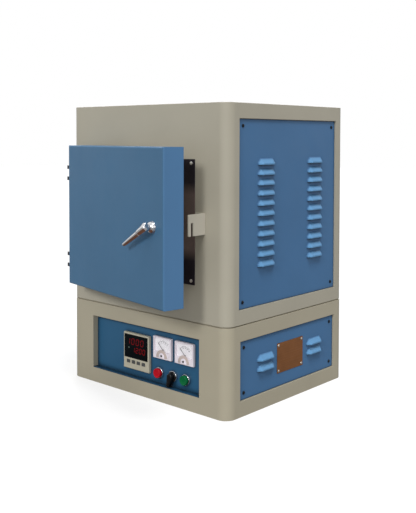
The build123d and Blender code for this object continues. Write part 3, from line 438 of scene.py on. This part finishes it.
# Plastics, card, ink and glass
case_plastic = moulded("case_plastic", linear(184, 179, 160), 0.45)
key_plastic = moulded("key_plastic", linear(74, 76, 76))
smoked = moulded("smoked_window", linear(9, 15, 18), 0.2, 0.01, 0.05)
display_red = moulded("display_red", linear(104, 8, 14), 0.4, 0.02, 0.05)
display_red.surface.inputs["Emission Color"].default_value = (0.5, 0.01, 0.01, 1.0)
display_red.surface.inputs["Emission Strength"].default_value = 0.12
pale_lamp = moulded("pale_lamp", linear(84, 104, 96), 0.3, 0.02)
black_plastic = moulded("black_plastic", linear(15, 15, 17), 0.34, shine=0.25)
red_plastic = moulded("red_plastic", linear(184, 18, 34), 0.3, 0.02, 0.15)
green_plastic = moulded("green_plastic", linear(8, 100, 56), 0.3, 0.02, 0.15)
meter_plastic = moulded("meter_plastic", linear(236, 228, 236), 0.3)
card_paper = moulded("card_paper", linear(252, 248, 253), 0.6, 0.02)
scale_ink = moulded("scale_ink", linear(104, 102, 108), 0.6, 0.02)
brown_trim = moulded("brown_trim", linear(196, 180, 174), 0.5, 0.04)
needle_lacquer = moulded("needle_lacquer", linear(84, 80, 86))
glass = Finish("meter_glass", linear(240, 244, 244), 0.06)
glass.surface.inputs["Alpha"].default_value = 0.06
glass.surface.inputs["IOR"].default_value = 1.49
glass.relief(glass.noise(30.0, 1.0), 0.02, 0.0003)

FINISHES = {
    beige: ["upper_casing", "top_cover", "rear_panel"],
    beige_keeper: ["latch_keeper"],
    beige_base: ["base_casing", "rear_panel_lower", "deck_plate"],
    blue: ["side_panel_left", "side_panel_right", "lower_panel_left", "lower_panel_right"],
    blue_door: ["door_shell"],
    blue_control: ["control_panel"],
    dark_frame: ["mouth_frame"],
    sheet_steel: ["door_back_plate", "inner_case", "base_tray", "case_rails", "hinge_lugs"],
    dark_steel: ["hinge_brackets", "hinge_pins", "latch_arm", "latch_spindle", "front_bolts"],
    chrome: ["handle_lever", "handle_rosette", "switch_bezels"],
    screw_zinc: ["panel_screws", "door_screws"],
    bright_screw: ["mouth_frame_screws"],
    muffle_clay: ["muffle", "hearth_plate", "thermocouple"],
    fibre_board: ["insulation_sides", "insulation_slabs", "insulation_rear", "door_insulation"],
    rope: ["door_gasket"],
    element_wire: ["heating_coils"],
    terminal_brass: ["heater_terminals"],
    plate_copper: ["nameplate"],
    rivet_metal: ["nameplate_rivets"],
    case_plastic: ["controller_case"],
    key_plastic: ["controller_key_1", "controller_key_2", "controller_key_3", "controller_key_4"],
    smoked: ["controller_window"],
    black_plastic: ["selector_knob", "switch_blocks", "cable_gland", "terminal_block"],
    meter_plastic: ["meter_cases"],
    glass: ["meter_windows"],
    needle_lacquer: ["ammeter_pointer", "voltmeter_pointer"],
    red_plastic: ["stop_button"],
    green_plastic: ["start_button"],
    module_metal: ["power_module"],
    core_metal: ["transformer"],
}
for finish, names in FINISHES.items():
    for name in names:
        nodes[name].data.materials.clear()
        nodes[name].data.materials.append(finish.material)


# ---------------------------------------------------------------- screws and rivets
def settle(piece, body, slot, *replaced):
    """Gives a piece its body and hides the solid pieces it stands for; the slot is not used."""
    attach(piece, body)
    if replaced:
        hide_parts(*replaced)


def at_corners(axis, face, half_across, middle_z, half_z):
    """Four places on a face square to an axis, half a spacing either way across it and up it."""
    spots = np.zeros((4, 3))
    spots[:, axis] = face
    spots[:, 1 - axis] = (-half_across, -half_across, half_across, half_across)
    spots[:, 2] = middle_z + half_z * np.array([-1, 1, -1, 1])
    return spots


def inside_box(low, high, axis, face, inset):
    """Four places on a face, at the corners of a box drawn in by an inset."""
    middle, half = (low + high) / 2, (high - low) / 2 - inset
    spots = at_corners(axis, face, half[1 - axis], middle[2], half[2])
    spots[:, 1 - axis] += middle[1 - axis]
    return spots


# Heights of the upper and the lower panels' middles, and half the height between their screws
UPPER_Z, UPPER_HALF_Z = 0.49125, 0.2135
LOWER_Z, LOWER_HALF_Z = 0.1115, 0.0555
PAN_RADIUS, FRAME_PAN_RADIUS, PAN_HEIGHT = 0.004, 0.0042, 0.0024

# Where each side's screws go: axis, face of the upper and of the lower panel, half the spacing on each
for side, axis, upper_face, lower_face, upper_half, lower_half in (
    ("right", 0, SIDE_FACE, LOWER_SIDE_FACE, 0.1915, 0.1865),
    ("left", 0, -SIDE_FACE, -LOWER_SIDE_FACE, 0.1915, 0.1865),
    ("rear", 1, REAR_FACE, LOWER_REAR_FACE, 0.2025, 0.2025),
):
    places = np.concatenate([
        at_corners(axis, upper_face, upper_half, UPPER_Z, UPPER_HALF_Z),
        at_corners(axis, lower_face, lower_half, LOWER_Z, LOWER_HALF_Z),
    ])
    out = np.eye(3)[axis] * np.sign(upper_face)
    heads = cross_heads(f"panel_screws_{side}", places, out, PAN_RADIUS, PAN_HEIGHT, black_screw)
    settle(heads, "cabinet", "screw_steel", "panel_screws")

FRAME_SCREW_INSET = 0.004
low, high = (np.array(corner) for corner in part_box("mouth_frame_screws"))
places = inside_box(low, high, 1, high[1], FRAME_SCREW_INSET)
heads = cross_heads("mouth_frame_screw_heads", places, TO_FRONT, FRAME_PAN_RADIUS, PAN_HEIGHT, bright_screw)
settle(heads, "cabinet", "screw_steel", "mouth_frame_screws")

RIVET_RADIUS, RIVET_HEIGHT, RIVET_INSET = 0.0036, 0.0018, 0.0035
low, high = (np.array(corner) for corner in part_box("nameplate_rivets"))
dome = np.linspace(0, np.pi / 2, 9)
rivet = np.concatenate([[(0, 0)], np.stack([RIVET_RADIUS * np.cos(dome), RIVET_HEIGHT * np.sin(dome)], -1)])
rivet_places = inside_box(low, high, 0, low[0], RIVET_INSET)
rivets = turned("nameplate_rivet_domes", rivet, rivet_places, TO_RIGHT, rivet_metal, 24)
settle(rivets, "cabinet", "rivet_metal", "nameplate_rivets")

# ---------------------------------------------------------------- switches
# Profiles are (radius, height over the panel's face)
SWITCH_Z = 0.0695
STOP, SELECTOR, START = ((x, PANEL_FACE, SWITCH_Z) for x in (0.0465, 0.0955, 0.1405))
BEZEL_PROFILE = [
    (0.0126, 0.0001), (0.0126, 0.0046), (0.0131, 0.005), (0.0139, 0.0046), (0.0146, 0.0016), (0.0146, 0.0001),
    (0.0126, 0.0001),
]
CAP_PROFILE = [
    (0, -0.0134), (0.0086, -0.0134), (0.0086, 0.0046), (0.0121, 0.0046), (0.0121, 0.0129), (0.0096, 0.0129),
    (0.0078, 0.0122), (0, 0.0121),
]
SKIRT_PROFILE = [
    (0, -0.017), (0.0086, -0.017), (0.0086, 0.0006), (0.0121, 0.0006), (0.0121, 0.0066), (0.0104, 0.0076),
    (0, 0.0076),
]
bezels = turned("bezel_rings", rounded(BEZEL_PROFILE, 0.0006), [STOP, SELECTOR, START], TO_FRONT, chrome, 64)
settle(bezels, "cabinet", "chrome_trim", "switch_bezels")
for name, place, finish, slot in (
    ("stop", STOP, red_plastic, "red_plastic"),
    ("start", START, green_plastic, "green_plastic"),
):
    button = turned(f"{name}_button_cap", rounded(CAP_PROFILE, 0.0016), [place], TO_FRONT, finish, 56)
    settle(button, f"{name}_button", slot, f"{name}_button")


def hull_of_circles(first, first_radius, second, second_radius, count=56):
    """Outline round two circles on the x axis: each arc from the shared tangent angle acos((r1-r2)/d)."""
    swing = np.arccos((first_radius - second_radius) / (second - first))
    near = np.linspace(swing, 2 * np.pi - swing, count // 2)
    far = np.linspace(-swing, swing, count // 2)
    return np.concatenate([
        np.stack([first + first_radius * np.cos(near), first_radius * np.sin(near)], -1),
        np.stack([second + second_radius * np.cos(far), second_radius * np.sin(far)], -1),
    ])


def rotated(points, angle):
    """Flat points turned by an angle in degrees."""
    c, s = np.cos(np.radians(angle)), np.sin(np.radians(angle))
    return np.stack([points[:, 0] * c - points[:, 1] * s, points[:, 0] * s + points[:, 1] * c], -1)


GRIP_TURN = -104.0
GRIP_HUB, GRIP_HUB_RADIUS = -0.0015, 0.0085
GRIP_TIP, GRIP_TIP_RADIUS = 0.0225, 0.0045
# Each step of the grip: how far drawn in, and its height
GRIP_STEPS = [(0, 0.0062), (0, 0.0145), (0.0003, 0.0162), (0.001, 0.0175), (0.0021, 0.0183), (0.0032, 0.0184)]
knob_skirt = turned("selector_skirt", rounded(SKIRT_PROFILE, 0.0009), [SELECTOR], TO_FRONT, black_plastic, 56)
grip_outline = rotated(hull_of_circles(GRIP_HUB, GRIP_HUB_RADIUS, GRIP_TIP, GRIP_TIP_RADIUS), GRIP_TURN)
grip = outline_shell("selector_grip", grip_outline, GRIP_STEPS, SELECTOR, TO_FRONT, black_plastic)
for piece in (knob_skirt, grip):
    settle(piece, "selector", "black_plastic", "selector_knob")

# ---------------------------------------------------------------- door handle
# The boss: a bore, a flange on the door and a dome over it
BOSS_BORE, BOSS_FLANGE, BOSS_FOOT, FLANGE_TOP = 0.0058, 0.015, 0.0001, 0.0018
BOSS_DOME_RADIUS, BOSS_DOME_RISE, BOSS_DOME_FOOT = 0.0144, 0.0108, 0.0020
swell = np.linspace(0, np.radians(66), 16)
boss_dome = np.stack([BOSS_DOME_RADIUS * np.cos(swell), BOSS_DOME_FOOT + BOSS_DOME_RISE * np.sin(swell)], -1)
boss = np.concatenate([
    [(BOSS_BORE, BOSS_FOOT), (BOSS_FLANGE, BOSS_FOOT), (BOSS_FLANGE, FLANGE_TOP)],
    boss_dome,
    [(BOSS_BORE, BOSS_FOOT)],
])
rosette = turned("handle_boss", boss, [HUB], TO_FRONT, chrome, 64, swung=True)
settle(rosette, "door", "chrome_trim", "handle_rosette")

LEVER_TURN = 208.0
# Cross-sections of the lever: distance from the spindle, half width, and heights of foot, shoulder and crest
STATIONS = np.array([
    (-0.0105, 0.0001, 0.018, 0.020, 0.022), (-0.0104, 0.0080, 0.0172, 0.0225, 0.0265),
    (-0.0070, 0.0102, 0.017, 0.0245, 0.0302), (0.0, 0.0103, 0.017, 0.0250, 0.0310),
    (0.0130, 0.0096, 0.017, 0.0248, 0.0310), (0.024, 0.0086, 0.0174, 0.0240, 0.0302),
    (0.03, 0.0082, 0.0178, 0.0225, 0.0285), (0.06, 0.0069, 0.0182, 0.0220, 0.0278),
    (0.095, 0.0054, 0.0186, 0.0216, 0.0266), (0.101, 0.0046, 0.0188, 0.0214, 0.0262),
    (0.1045, 0.003, 0.0192, 0.0210, 0.0250), (0.1058, 0.0001, 0.0200, 0.0208, 0.0220),
])
# Its facets as shares of the half width, and how far two of them lie off a station's heights
FACETS = (-0.78, -1.0, -1.0, -0.36, 0.0, 0.36, 1.0, 1.0, 0.78)
FOOT_RISE, CREST_FALL = 0.0012, 0.0006
distance, half, foot, shoulder, crest = (STATIONS[:, k:k + 1] for k in range(5))
across = half * np.array(FACETS)
flank = [foot, foot + FOOT_RISE, shoulder, crest - CREST_FALL]
height = np.concatenate([*flank, crest, *flank[::-1]], 1)
flat = np.stack([(distance + 0 * across).ravel(), across.ravel()], -1)
flat = rotated(flat, LEVER_TURN).reshape(*across.shape, 2)
lever_grid = facing(np.concatenate([flat, height[..., None]], -1), HUB, TO_FRONT)
lever = grid_piece("door_lever", hang(lever_grid), closed=True, finish=chrome, smooth=False)
settle(lever, "latch", "chrome_trim", "handle_lever")

NECK_PROFILE = [(0, 0.0126), (0.0086, 0.0126), (0.0086, 0.0178), (0, 0.0178)]
neck = turned("lever_neck", rounded(NECK_PROFILE, 0.0008), [HUB], TO_FRONT, chrome, swung=True)
settle(neck, "latch", "chrome_trim", "handle_lever")

# ---------------------------------------------------------------- meters
METERS = (("ammeter", 0.061, (0, 10, 20, 30, 40)), ("voltmeter", 0.1385, (0, 100, 200, 300, 400)))
METER_Z = 0.136
METER_FACE = PANEL_FACE - 0.0085
CARD_FACE = METER_FACE + 0.0063
INK_FACE, INK_DEPTH = CARD_FACE - 0.00005, 0.00006


def strips(name, starts, ends, half_widths, place, finish):
    """Flat marks: each strip is start to end, widened square to itself, as a closed sliver of even depth."""
    starts, ends, half_widths = (np.asarray(v, float) for v in (starts, ends, half_widths))
    along = (ends - starts) / np.linalg.norm(ends - starts, axis=1, keepdims=True)
    aside = np.stack([-along[:, 1], along[:, 0]], -1) * half_widths[:, None]
    loop = np.stack([starts - aside, ends - aside, ends + aside, starts + aside], 1)
    middle = loop.mean(1, keepdims=True) + 0 * loop
    flats = np.stack([middle, loop, loop, middle], 1)
    levels = np.array([0.0, 0.0, INK_DEPTH, INK_DEPTH])[:, None, None] + 0 * flats[..., :1]
    grids = facing(np.concatenate([flats, levels], -1), place, TO_FRONT)
    return grid_piece(name, grids, closed=True, finish=finish, smooth=False)


# Half the depth of a printed figure, and how far its middle stands off the card
FIGURE_HALF_DEPTH, FIGURE_LIFT = 0.00004, 0.0001


def numerals(name, labels, spots, size, place, finish):
    """Plain numbers, each centred on its spot, as thin raised figures."""
    shell = bmesh.new()
    for label, (x, y) in zip(labels, spots):
        curve = bpy.data.curves.new(name, "FONT")
        curve.body, curve.size, curve.extrude = str(label), size, FIGURE_HALF_DEPTH
        curve.align_x = curve.align_y = "CENTER"
        holder = bpy.data.objects.new(name, curve)
        bpy.context.scene.collection.objects.link(holder)
        bpy.context.view_layer.update()
        figure = bpy.data.meshes.new_from_object(holder.evaluated_get(bpy.context.evaluated_depsgraph_get()))
        bpy.data.objects.remove(holder)
        flat = np.empty(len(figure.vertices) * 3)
        figure.vertices.foreach_get("co", flat)
        flat = flat.reshape(-1, 3) + (x, y, FIGURE_LIFT)
        figure.vertices.foreach_set("co", facing(flat, place, TO_FRONT).ravel())
        shell.from_mesh(figure)
    mesh = bpy.data.meshes.new(name)
    welded(shell, mesh)
    mesh.materials.append(finish.material)
    piece = bpy.data.objects.new(name, mesh)
    bpy.context.scene.collection.objects.link(piece)
    return piece


# The card, and on it the scale about the needle's pivot: 40 divisions over a quarter turn
CARD_HALF, CARD_RISE = np.array([0.0287, 0.0172]), 0.0075
CARD = np.array([(-1, -1), (1, -1), (1, 1), (-1, 1)]) * CARD_HALF + (0, CARD_RISE)
CARD_STEPS = [(0, -0.0002), (0, 0.0)]
PIVOT = np.array([0.0, -0.006])
ARC_RADIUS, TICK_RADIUS, NUMBER_RADIUS, NUMBER_SIZE = 0.0223, 0.0225, 0.0192, 0.0040
SWEEP_START, SWEEP_END, DIVISIONS = np.radians(135), np.radians(45), 40
TICK_LONG, TICK_MIDDLE, TICK_SHORT = 0.0042, 0.0030, 0.0018
LINE_BOLD, LINE_THIN = 0.00022, 0.00012

division = np.arange(DIVISIONS + 1)
tenths, fifths = division % 10 == 0, division % 5 == 0
tick_length = np.where(tenths, TICK_LONG, np.where(fifths, TICK_MIDDLE, TICK_SHORT))[:, None]
tick_width = np.where(tenths, LINE_BOLD, LINE_THIN)


def spokes(count):
    """Directions spread evenly over the needle's sweep."""
    angle = np.linspace(SWEEP_START, SWEEP_END, count)
    return np.stack([np.cos(angle), np.sin(angle)], -1)


# The hub's cover and the pale rim round it are half ellipses whose straight side lies along the meter's foot
HUB_FOOT = -0.0245
COVER_STEPS = [(0, -0.0004), (0, 0.0007), (0.0004, 0.0011), (0.001, 0.0012)]
RIM_STEPS = [(0, -0.0003), (0, 0.0004), (0.0002, 0.0005)]


def half_ellipse(half_width, rise):
    """The upper half of an ellipse: (a cos t, b sin t)."""
    t = np.linspace(0, np.pi, 28)
    return np.stack([half_width * np.cos(t), rise * np.sin(t) + HUB_FOOT], -1)


# The zero screw: rings across its face and down its side, and the slot sunk across it
ZERO_RISE, ZERO_RINGS, ZERO_SIDE = -0.0195, np.linspace(0, 0.0026, 12), (0.0028, 0.0028)
ZERO_LEVELS = np.append(np.full(12, 0.0020), (0.0017, 0.0010))[:, None]
SLOT_DEPTH, SLOT_HALF_WIDTH, SLOT_WALL, SLOT_REACH = 0.0007, 0.00035, 1.5, 0.0027
screw_turn = np.linspace(0, 2 * np.pi, 40, endpoint=False)[None]
reach = np.append(ZERO_RINGS, ZERO_SIDE)[:, None]
sunk = np.clip(SLOT_WALL - abs(reach * np.sin(screw_turn)) / SLOT_HALF_WIDTH, 0, 1) * (reach < SLOT_REACH)
zero_screw = np.stack([
    reach * np.cos(screw_turn),
    reach * np.sin(screw_turn),
    ZERO_LEVELS - SLOT_DEPTH * sunk,
], -1)

for name, x, numbers in METERS:
    on_card, on_ink, on_face = ((x, face, METER_Z) for face in (CARD_FACE, INK_FACE, METER_FACE))
    card = outline_shell(f"{name}_card", CARD, CARD_STEPS, on_card, TO_FRONT, card_paper, smooth=False)
    settle(card, "cabinet", "black_plastic")

    fine = spokes(DIVISIONS + 1)
    tick_foot = PIVOT + fine * TICK_RADIUS
    tick_tip = PIVOT + fine * (TICK_RADIUS + tick_length)
    ticks = strips(f"{name}_scale", tick_foot, tick_tip, tick_width, on_ink, scale_ink)
    settle(ticks, "cabinet", "pointer_paint")
    line = PIVOT + fine * ARC_RADIUS
    arc = strips(f"{name}_arc", line[:-1], line[1:], np.full(DIVISIONS, LINE_THIN), on_ink, scale_ink)
    settle(arc, "cabinet", "pointer_paint")
    number_spots = PIVOT + NUMBER_RADIUS * spokes(len(numbers))
    figures = numerals(f"{name}_numbers", numbers, number_spots, NUMBER_SIZE, on_ink, scale_ink)
    settle(figures, "cabinet", "pointer_paint")

    bowl, edge = half_ellipse(0.0105, 0.0128), half_ellipse(0.0195, 0.0205)
    cover = outline_shell(f"{name}_hub_cover", bowl, COVER_STEPS, on_face, TO_FRONT, meter_plastic)
    settle(cover, "cabinet", "black_plastic")
    rim = outline_shell(f"{name}_hub_rim", edge, RIM_STEPS, on_face, TO_FRONT, brown_trim)
    settle(rim, "cabinet", "black_plastic")
    screw = facing(zero_screw, (x, METER_FACE, METER_Z + ZERO_RISE), TO_FRONT)
    adjuster = grid_piece(f"{name}_zero_screw", screw, closed=True, finish=black_plastic)
    settle(adjuster, "cabinet", "black_plastic")

# ---------------------------------------------------------------- controller display
CONTROLLER_X, CONTROLLER_Z = -0.0345, 0.1095
WINDOW_FACE = PANEL_FACE - 0.009
ON_WINDOW = (CONTROLLER_X, WINDOW_FACE - 0.00002, CONTROLLER_Z)
# Each bar joins two corners of a ladder 1 wide and 2 high; each figure lights some of the bars
BARS = {
    "a": ((0, 2), (1, 2)), "b": ((1, 2), (1, 1)), "c": ((1, 1), (1, 0)), "d": ((0, 0), (1, 0)),
    "e": ((0, 1), (0, 0)), "f": ((0, 2), (0, 1)), "g": ((0, 1), (1, 1)),
}
FIGURES = {"0": "abcdef", "1": "bc", "2": "abged"}
LEAN, BAR_GAP, BAR_HALF_WIDTH = 0.12, 0.0007, 0.0010
# Each row of figures: name, text, left end, foot, height, width and spacing
DISPLAY_ROWS = (
    ("display_upper", "1000", -0.0345, 0.0180, 0.0155, 0.0096, 0.0172),
    ("display_lower", "1200", -0.014, -0.0025, 0.0130, 0.0078, 0.0130),
)


def seven_segment(text, left, base, height, width, pitch):
    """Both ends of each lit bar, drawn in by a gap and leaned by x + lean y."""
    bars = [(place, *BARS[bar]) for place, figure in enumerate(text) for bar in FIGURES[figure]]
    place, start, end = (np.array([bar[k] for bar in bars], float) for k in range(3))
    span = np.array([width, height / 2])
    start, end = start * span, end * span
    gap = (end - start) * (BAR_GAP / np.linalg.norm(end - start, axis=1, keepdims=True))
    origin = np.stack([left + place * pitch, base + 0 * place], -1)
    return tuple(origin + p + np.stack([LEAN * p[:, 1], 0 * p[:, 0]], -1) for p in (start + gap, end - gap))


for name, *row in DISPLAY_ROWS:
    start, end = seven_segment(*row)
    digits = strips(name, start, end, np.full(len(start), BAR_HALF_WIDTH), ON_WINDOW, display_red)
    settle(digits, "cabinet", "smoked_window")
LAMP_PROFILE = [(0, 0), (0.0021, 0), (0.0021, 0.0004), (0, 0.0007)]
lamp_place = (CONTROLLER_X - 0.027, WINDOW_FACE, CONTROLLER_Z + 0.0085)
lamp = turned("display_lamp", rounded(LAMP_PROFILE, 0.0004), [lamp_place], TO_FRONT, pale_lamp, 24)
settle(lamp, "cabinet", "smoked_window")

# ---------------------------------------------------------------- heating elements
# Five coils in the grooves of each side wall, wound front to rear, with a straight tail at the four outermost
COIL_X, COIL_SPACING, COIL_LENGTH, COIL_END = 0.1235, 0.030, 0.3174, 0.0008
COIL_RADIUS, COIL_TURNS, WIRE_RADIUS, TAIL_RADIUS = 0.0037, 49, 0.00065, 0.0019
coil_low, coil_high = (np.array(corner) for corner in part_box("heating_coils"))
winding = np.linspace(0, 1, 700)
turns = 2 * np.pi * COIL_TURNS * winding
run = coil_low[1] + COIL_END + (COIL_LENGTH - 2 * COIL_END) * winding
helix = np.stack([COIL_RADIUS * np.cos(turns), run, COIL_RADIUS * np.sin(turns)], -1)
rows = [(side * COIL_X, CHAMBER_Z + COIL_SPACING * row) for side in (-1, 1) for row in range(-2, 3)]
coils = tube("heating_wire", np.stack([helix + (x, 0, z) for x, z in rows]), WIRE_RADIUS, element_wire)
settle(coils, "cabinet", "heating_wire", "heating_coils")
tail_run = np.linspace(coil_low[1] + COIL_LENGTH - COIL_END, coil_high[1], 12)
outermost = [rows[k] for k in (0, 4, 5, 9)]
tails = np.stack([np.stack([0 * tail_run + x, tail_run, 0 * tail_run + z], -1) for x, z in outermost])
coil_tails = tube("heating_wire_tails", tails, TAIL_RADIUS, element_wire, 10)
settle(coil_tails, "cabinet", "heating_wire", "heating_coils")

# ---------------------------------------------------------------- cord gland
GLAND = (0.165, LOWER_REAR_FACE, 0.085)
# The nut: (radius, height over the panel). Its widest rings are cut into by 16 flutes
NUT_PROFILE = np.array([
    (0.0056, 0.0062), (0.0122, 0.0062), (0.0126, 0.0070), (0.0124, 0.0150), (0.0112, 0.0180),
    (0.0094, 0.0196), (0.0062, 0.0198), (0.0056, 0.0194), (0.0056, 0.0062),
])
FLUTED_FROM, FLUTES, FLUTE_HALF_DEPTH, FLUTE_SINK = 0.0115, 16, 0.00035, 0.0004
HEXAGON_RADIUS, HEXAGON_STEPS = 0.0146, [(0, 0.0), (0, 0.0052), (0.0006, 0.0060)]
around = np.linspace(0, 2 * np.pi, 96, endpoint=False)
radius, height = NUT_PROFILE[:, :1], NUT_PROFILE[:, 1:]
flute = FLUTE_HALF_DEPTH * np.cos(FLUTES * around) - FLUTE_SINK
reach = radius + np.where(radius > FLUTED_FROM, flute, 0.0)
nut = np.stack([reach * np.cos(around), reach * np.sin(around), height + 0 * reach], -1)
gland_nut = grid_piece("gland_nut", facing(nut, GLAND, TO_REAR), closed=True, finish=black_plastic)
settle(gland_nut, "cabinet", "black_plastic", "cable_gland")
six = np.radians(np.arange(6) * 60)
hexagon = HEXAGON_RADIUS * np.stack([np.cos(six), np.sin(six)], -1)
gland_body = outline_shell("gland_body", hexagon, HEXAGON_STEPS, GLAND, TO_REAR, black_plastic, smooth=False)
settle(gland_body, "cabinet", "black_plastic", "cable_gland")


# ---------------------------------------------------------------- studio
def strongest(tree, *values):
    """The largest of several values."""
    best, *others = values
    for value in others:
        larger = tree.nodes.new("ShaderNodeMath")
        larger.operation = "MAXIMUM"
        tree.links.new(best, larger.inputs[0])
        tree.links.new(value, larger.inputs[1])
        best = larger.outputs[0]
    return best


# A pale floor that keeps the shadow, lifted towards white where it is seen straight or through glass
FLOOR_HALF, FLOOR_LIFT = 14, 0.72
steps = np.linspace(-FLOOR_HALF, FLOOR_HALF, 3)
floor = grid_piece("floor", np.stack(np.meshgrid(steps, steps, [0.0], indexing="ij"), -1)[:, :, 0])
ground = Finish("studio_floor", (0.28, 0.28, 0.28, 1.0), 0.95)
ground.mottle(0.6, 0.01)
ground.shine(0.1)
path = ground.node("ShaderNodeLightPath").outputs
lift = ground.node("ShaderNodeMath", operation="MULTIPLY")
lift.inputs[1].default_value = FLOOR_LIFT
ground.wire(strongest(ground.tree, path["Is Camera Ray"], path["Is Transmission Ray"]), lift.inputs[0])
ground.surface.inputs["Emission Color"].default_value = (1, 1, 1, 1)
ground.wire(lift.outputs[0], ground.surface.inputs["Emission Strength"])
floor.data.materials.append(ground.material)

# A brown card on the floor before the furnace, which only reflections show: bright metal takes its tone
CARD_LEFT, CARD_RIGHT, CARD_FRONT, CARD_REAR, CARD_Z = -0.35, 0.4, -1.2, -0.33, 0.003
flag = grid_piece("reflection_flag", np.array([
    [(CARD_LEFT, CARD_FRONT, CARD_Z), (CARD_RIGHT, CARD_FRONT, CARD_Z)],
    [(CARD_LEFT, CARD_REAR, CARD_Z), (CARD_RIGHT, CARD_REAR, CARD_Z)],
]))
flag.data.materials.append(Finish("flag_cloth", linear(84, 50, 30), 0.9).material)
flag.visible_camera = flag.visible_diffuse = flag.visible_shadow = flag.visible_transmission = False

# An even white sky: full strength where it is seen or mirrored, and dimmer as a light
SKY_LIGHT, SKY_SEEN = 0.42, 1.0
world = bpy.data.worlds.new("studio")
world.use_nodes = True
bpy.context.scene.world = world
sky = world.node_tree
path = sky.nodes.new("ShaderNodeLightPath").outputs
level = sky.nodes.new("ShaderNodeMapRange")
level.inputs["To Min"].default_value = SKY_LIGHT
level.inputs["To Max"].default_value = SKY_SEEN
seen = strongest(sky, path["Is Camera Ray"], path["Is Glossy Ray"], path["Is Transmission Ray"])
sky.links.new(seen, level.inputs["Value"])
background = sky.nodes["Background"]
background.inputs["Color"].default_value = (1, 1, 1, 1)
sky.links.new(level.outputs["Result"], background.inputs["Strength"])


def sun(name, towards, strength, angle):
    """A soft distant lamp whose light comes from the given direction."""
    data = bpy.data.lights.new(name, "SUN")
    data.energy = strength
    data.angle = np.radians(angle)
    lamp = bpy.data.objects.new(name, data)
    lamp.rotation_euler = Vector(towards).to_track_quat("Z", "Y").to_euler()
    bpy.context.scene.collection.objects.link(lamp)


sun("front_key", (0.20, -0.87, 0.45), 1.30, 12)
sun("overhead_right", (0.35, -0.12, 0.93), 1.83, 20)
sun("corner_fill", (0.66, -0.72, 0.22), 0.39, 20)
sun("rear_fill", (-0.60, 0.66, 0.45), 1.3, 30)

# ---------------------------------------------------------------- camera
# Focal length and vertical shift are in 416ths of the view's width
WIDE, FOCAL, SHIFT, SENSOR = 416.0, 795.636, -88.413, 36.0
YAW, PITCH, ROLL = np.radians([41.827, 2.167, 0.118])
camera_data = bpy.data.cameras.new("camera")
camera_data.sensor_fit = "HORIZONTAL"
camera_data.sensor_width = SENSOR
camera_data.lens = FOCAL / WIDE * SENSOR
camera_data.shift_y = SHIFT / WIDE
camera_data.clip_end = 60.0
camera = bpy.data.objects.new("camera", camera_data)
camera.location = (1.495262, -1.670387, 0.675067)
forward = np.array([-np.sin(YAW) * np.cos(PITCH), np.cos(YAW) * np.cos(PITCH), -np.sin(PITCH)])
level_right = np.array([np.cos(YAW), np.sin(YAW), 0.0])
rise = np.cross(level_right, forward)
right = np.cos(ROLL) * level_right + np.sin(ROLL) * rise
upright = -np.sin(ROLL) * level_right + np.cos(ROLL) * rise
camera.rotation_euler = Matrix(np.stack([right, upright, -forward], 1).tolist()).to_euler()
bpy.context.scene.collection.objects.link(camera)
bpy.context.scene.camera = camera
bpy.context.scene.view_settings.view_transform = "Standard"
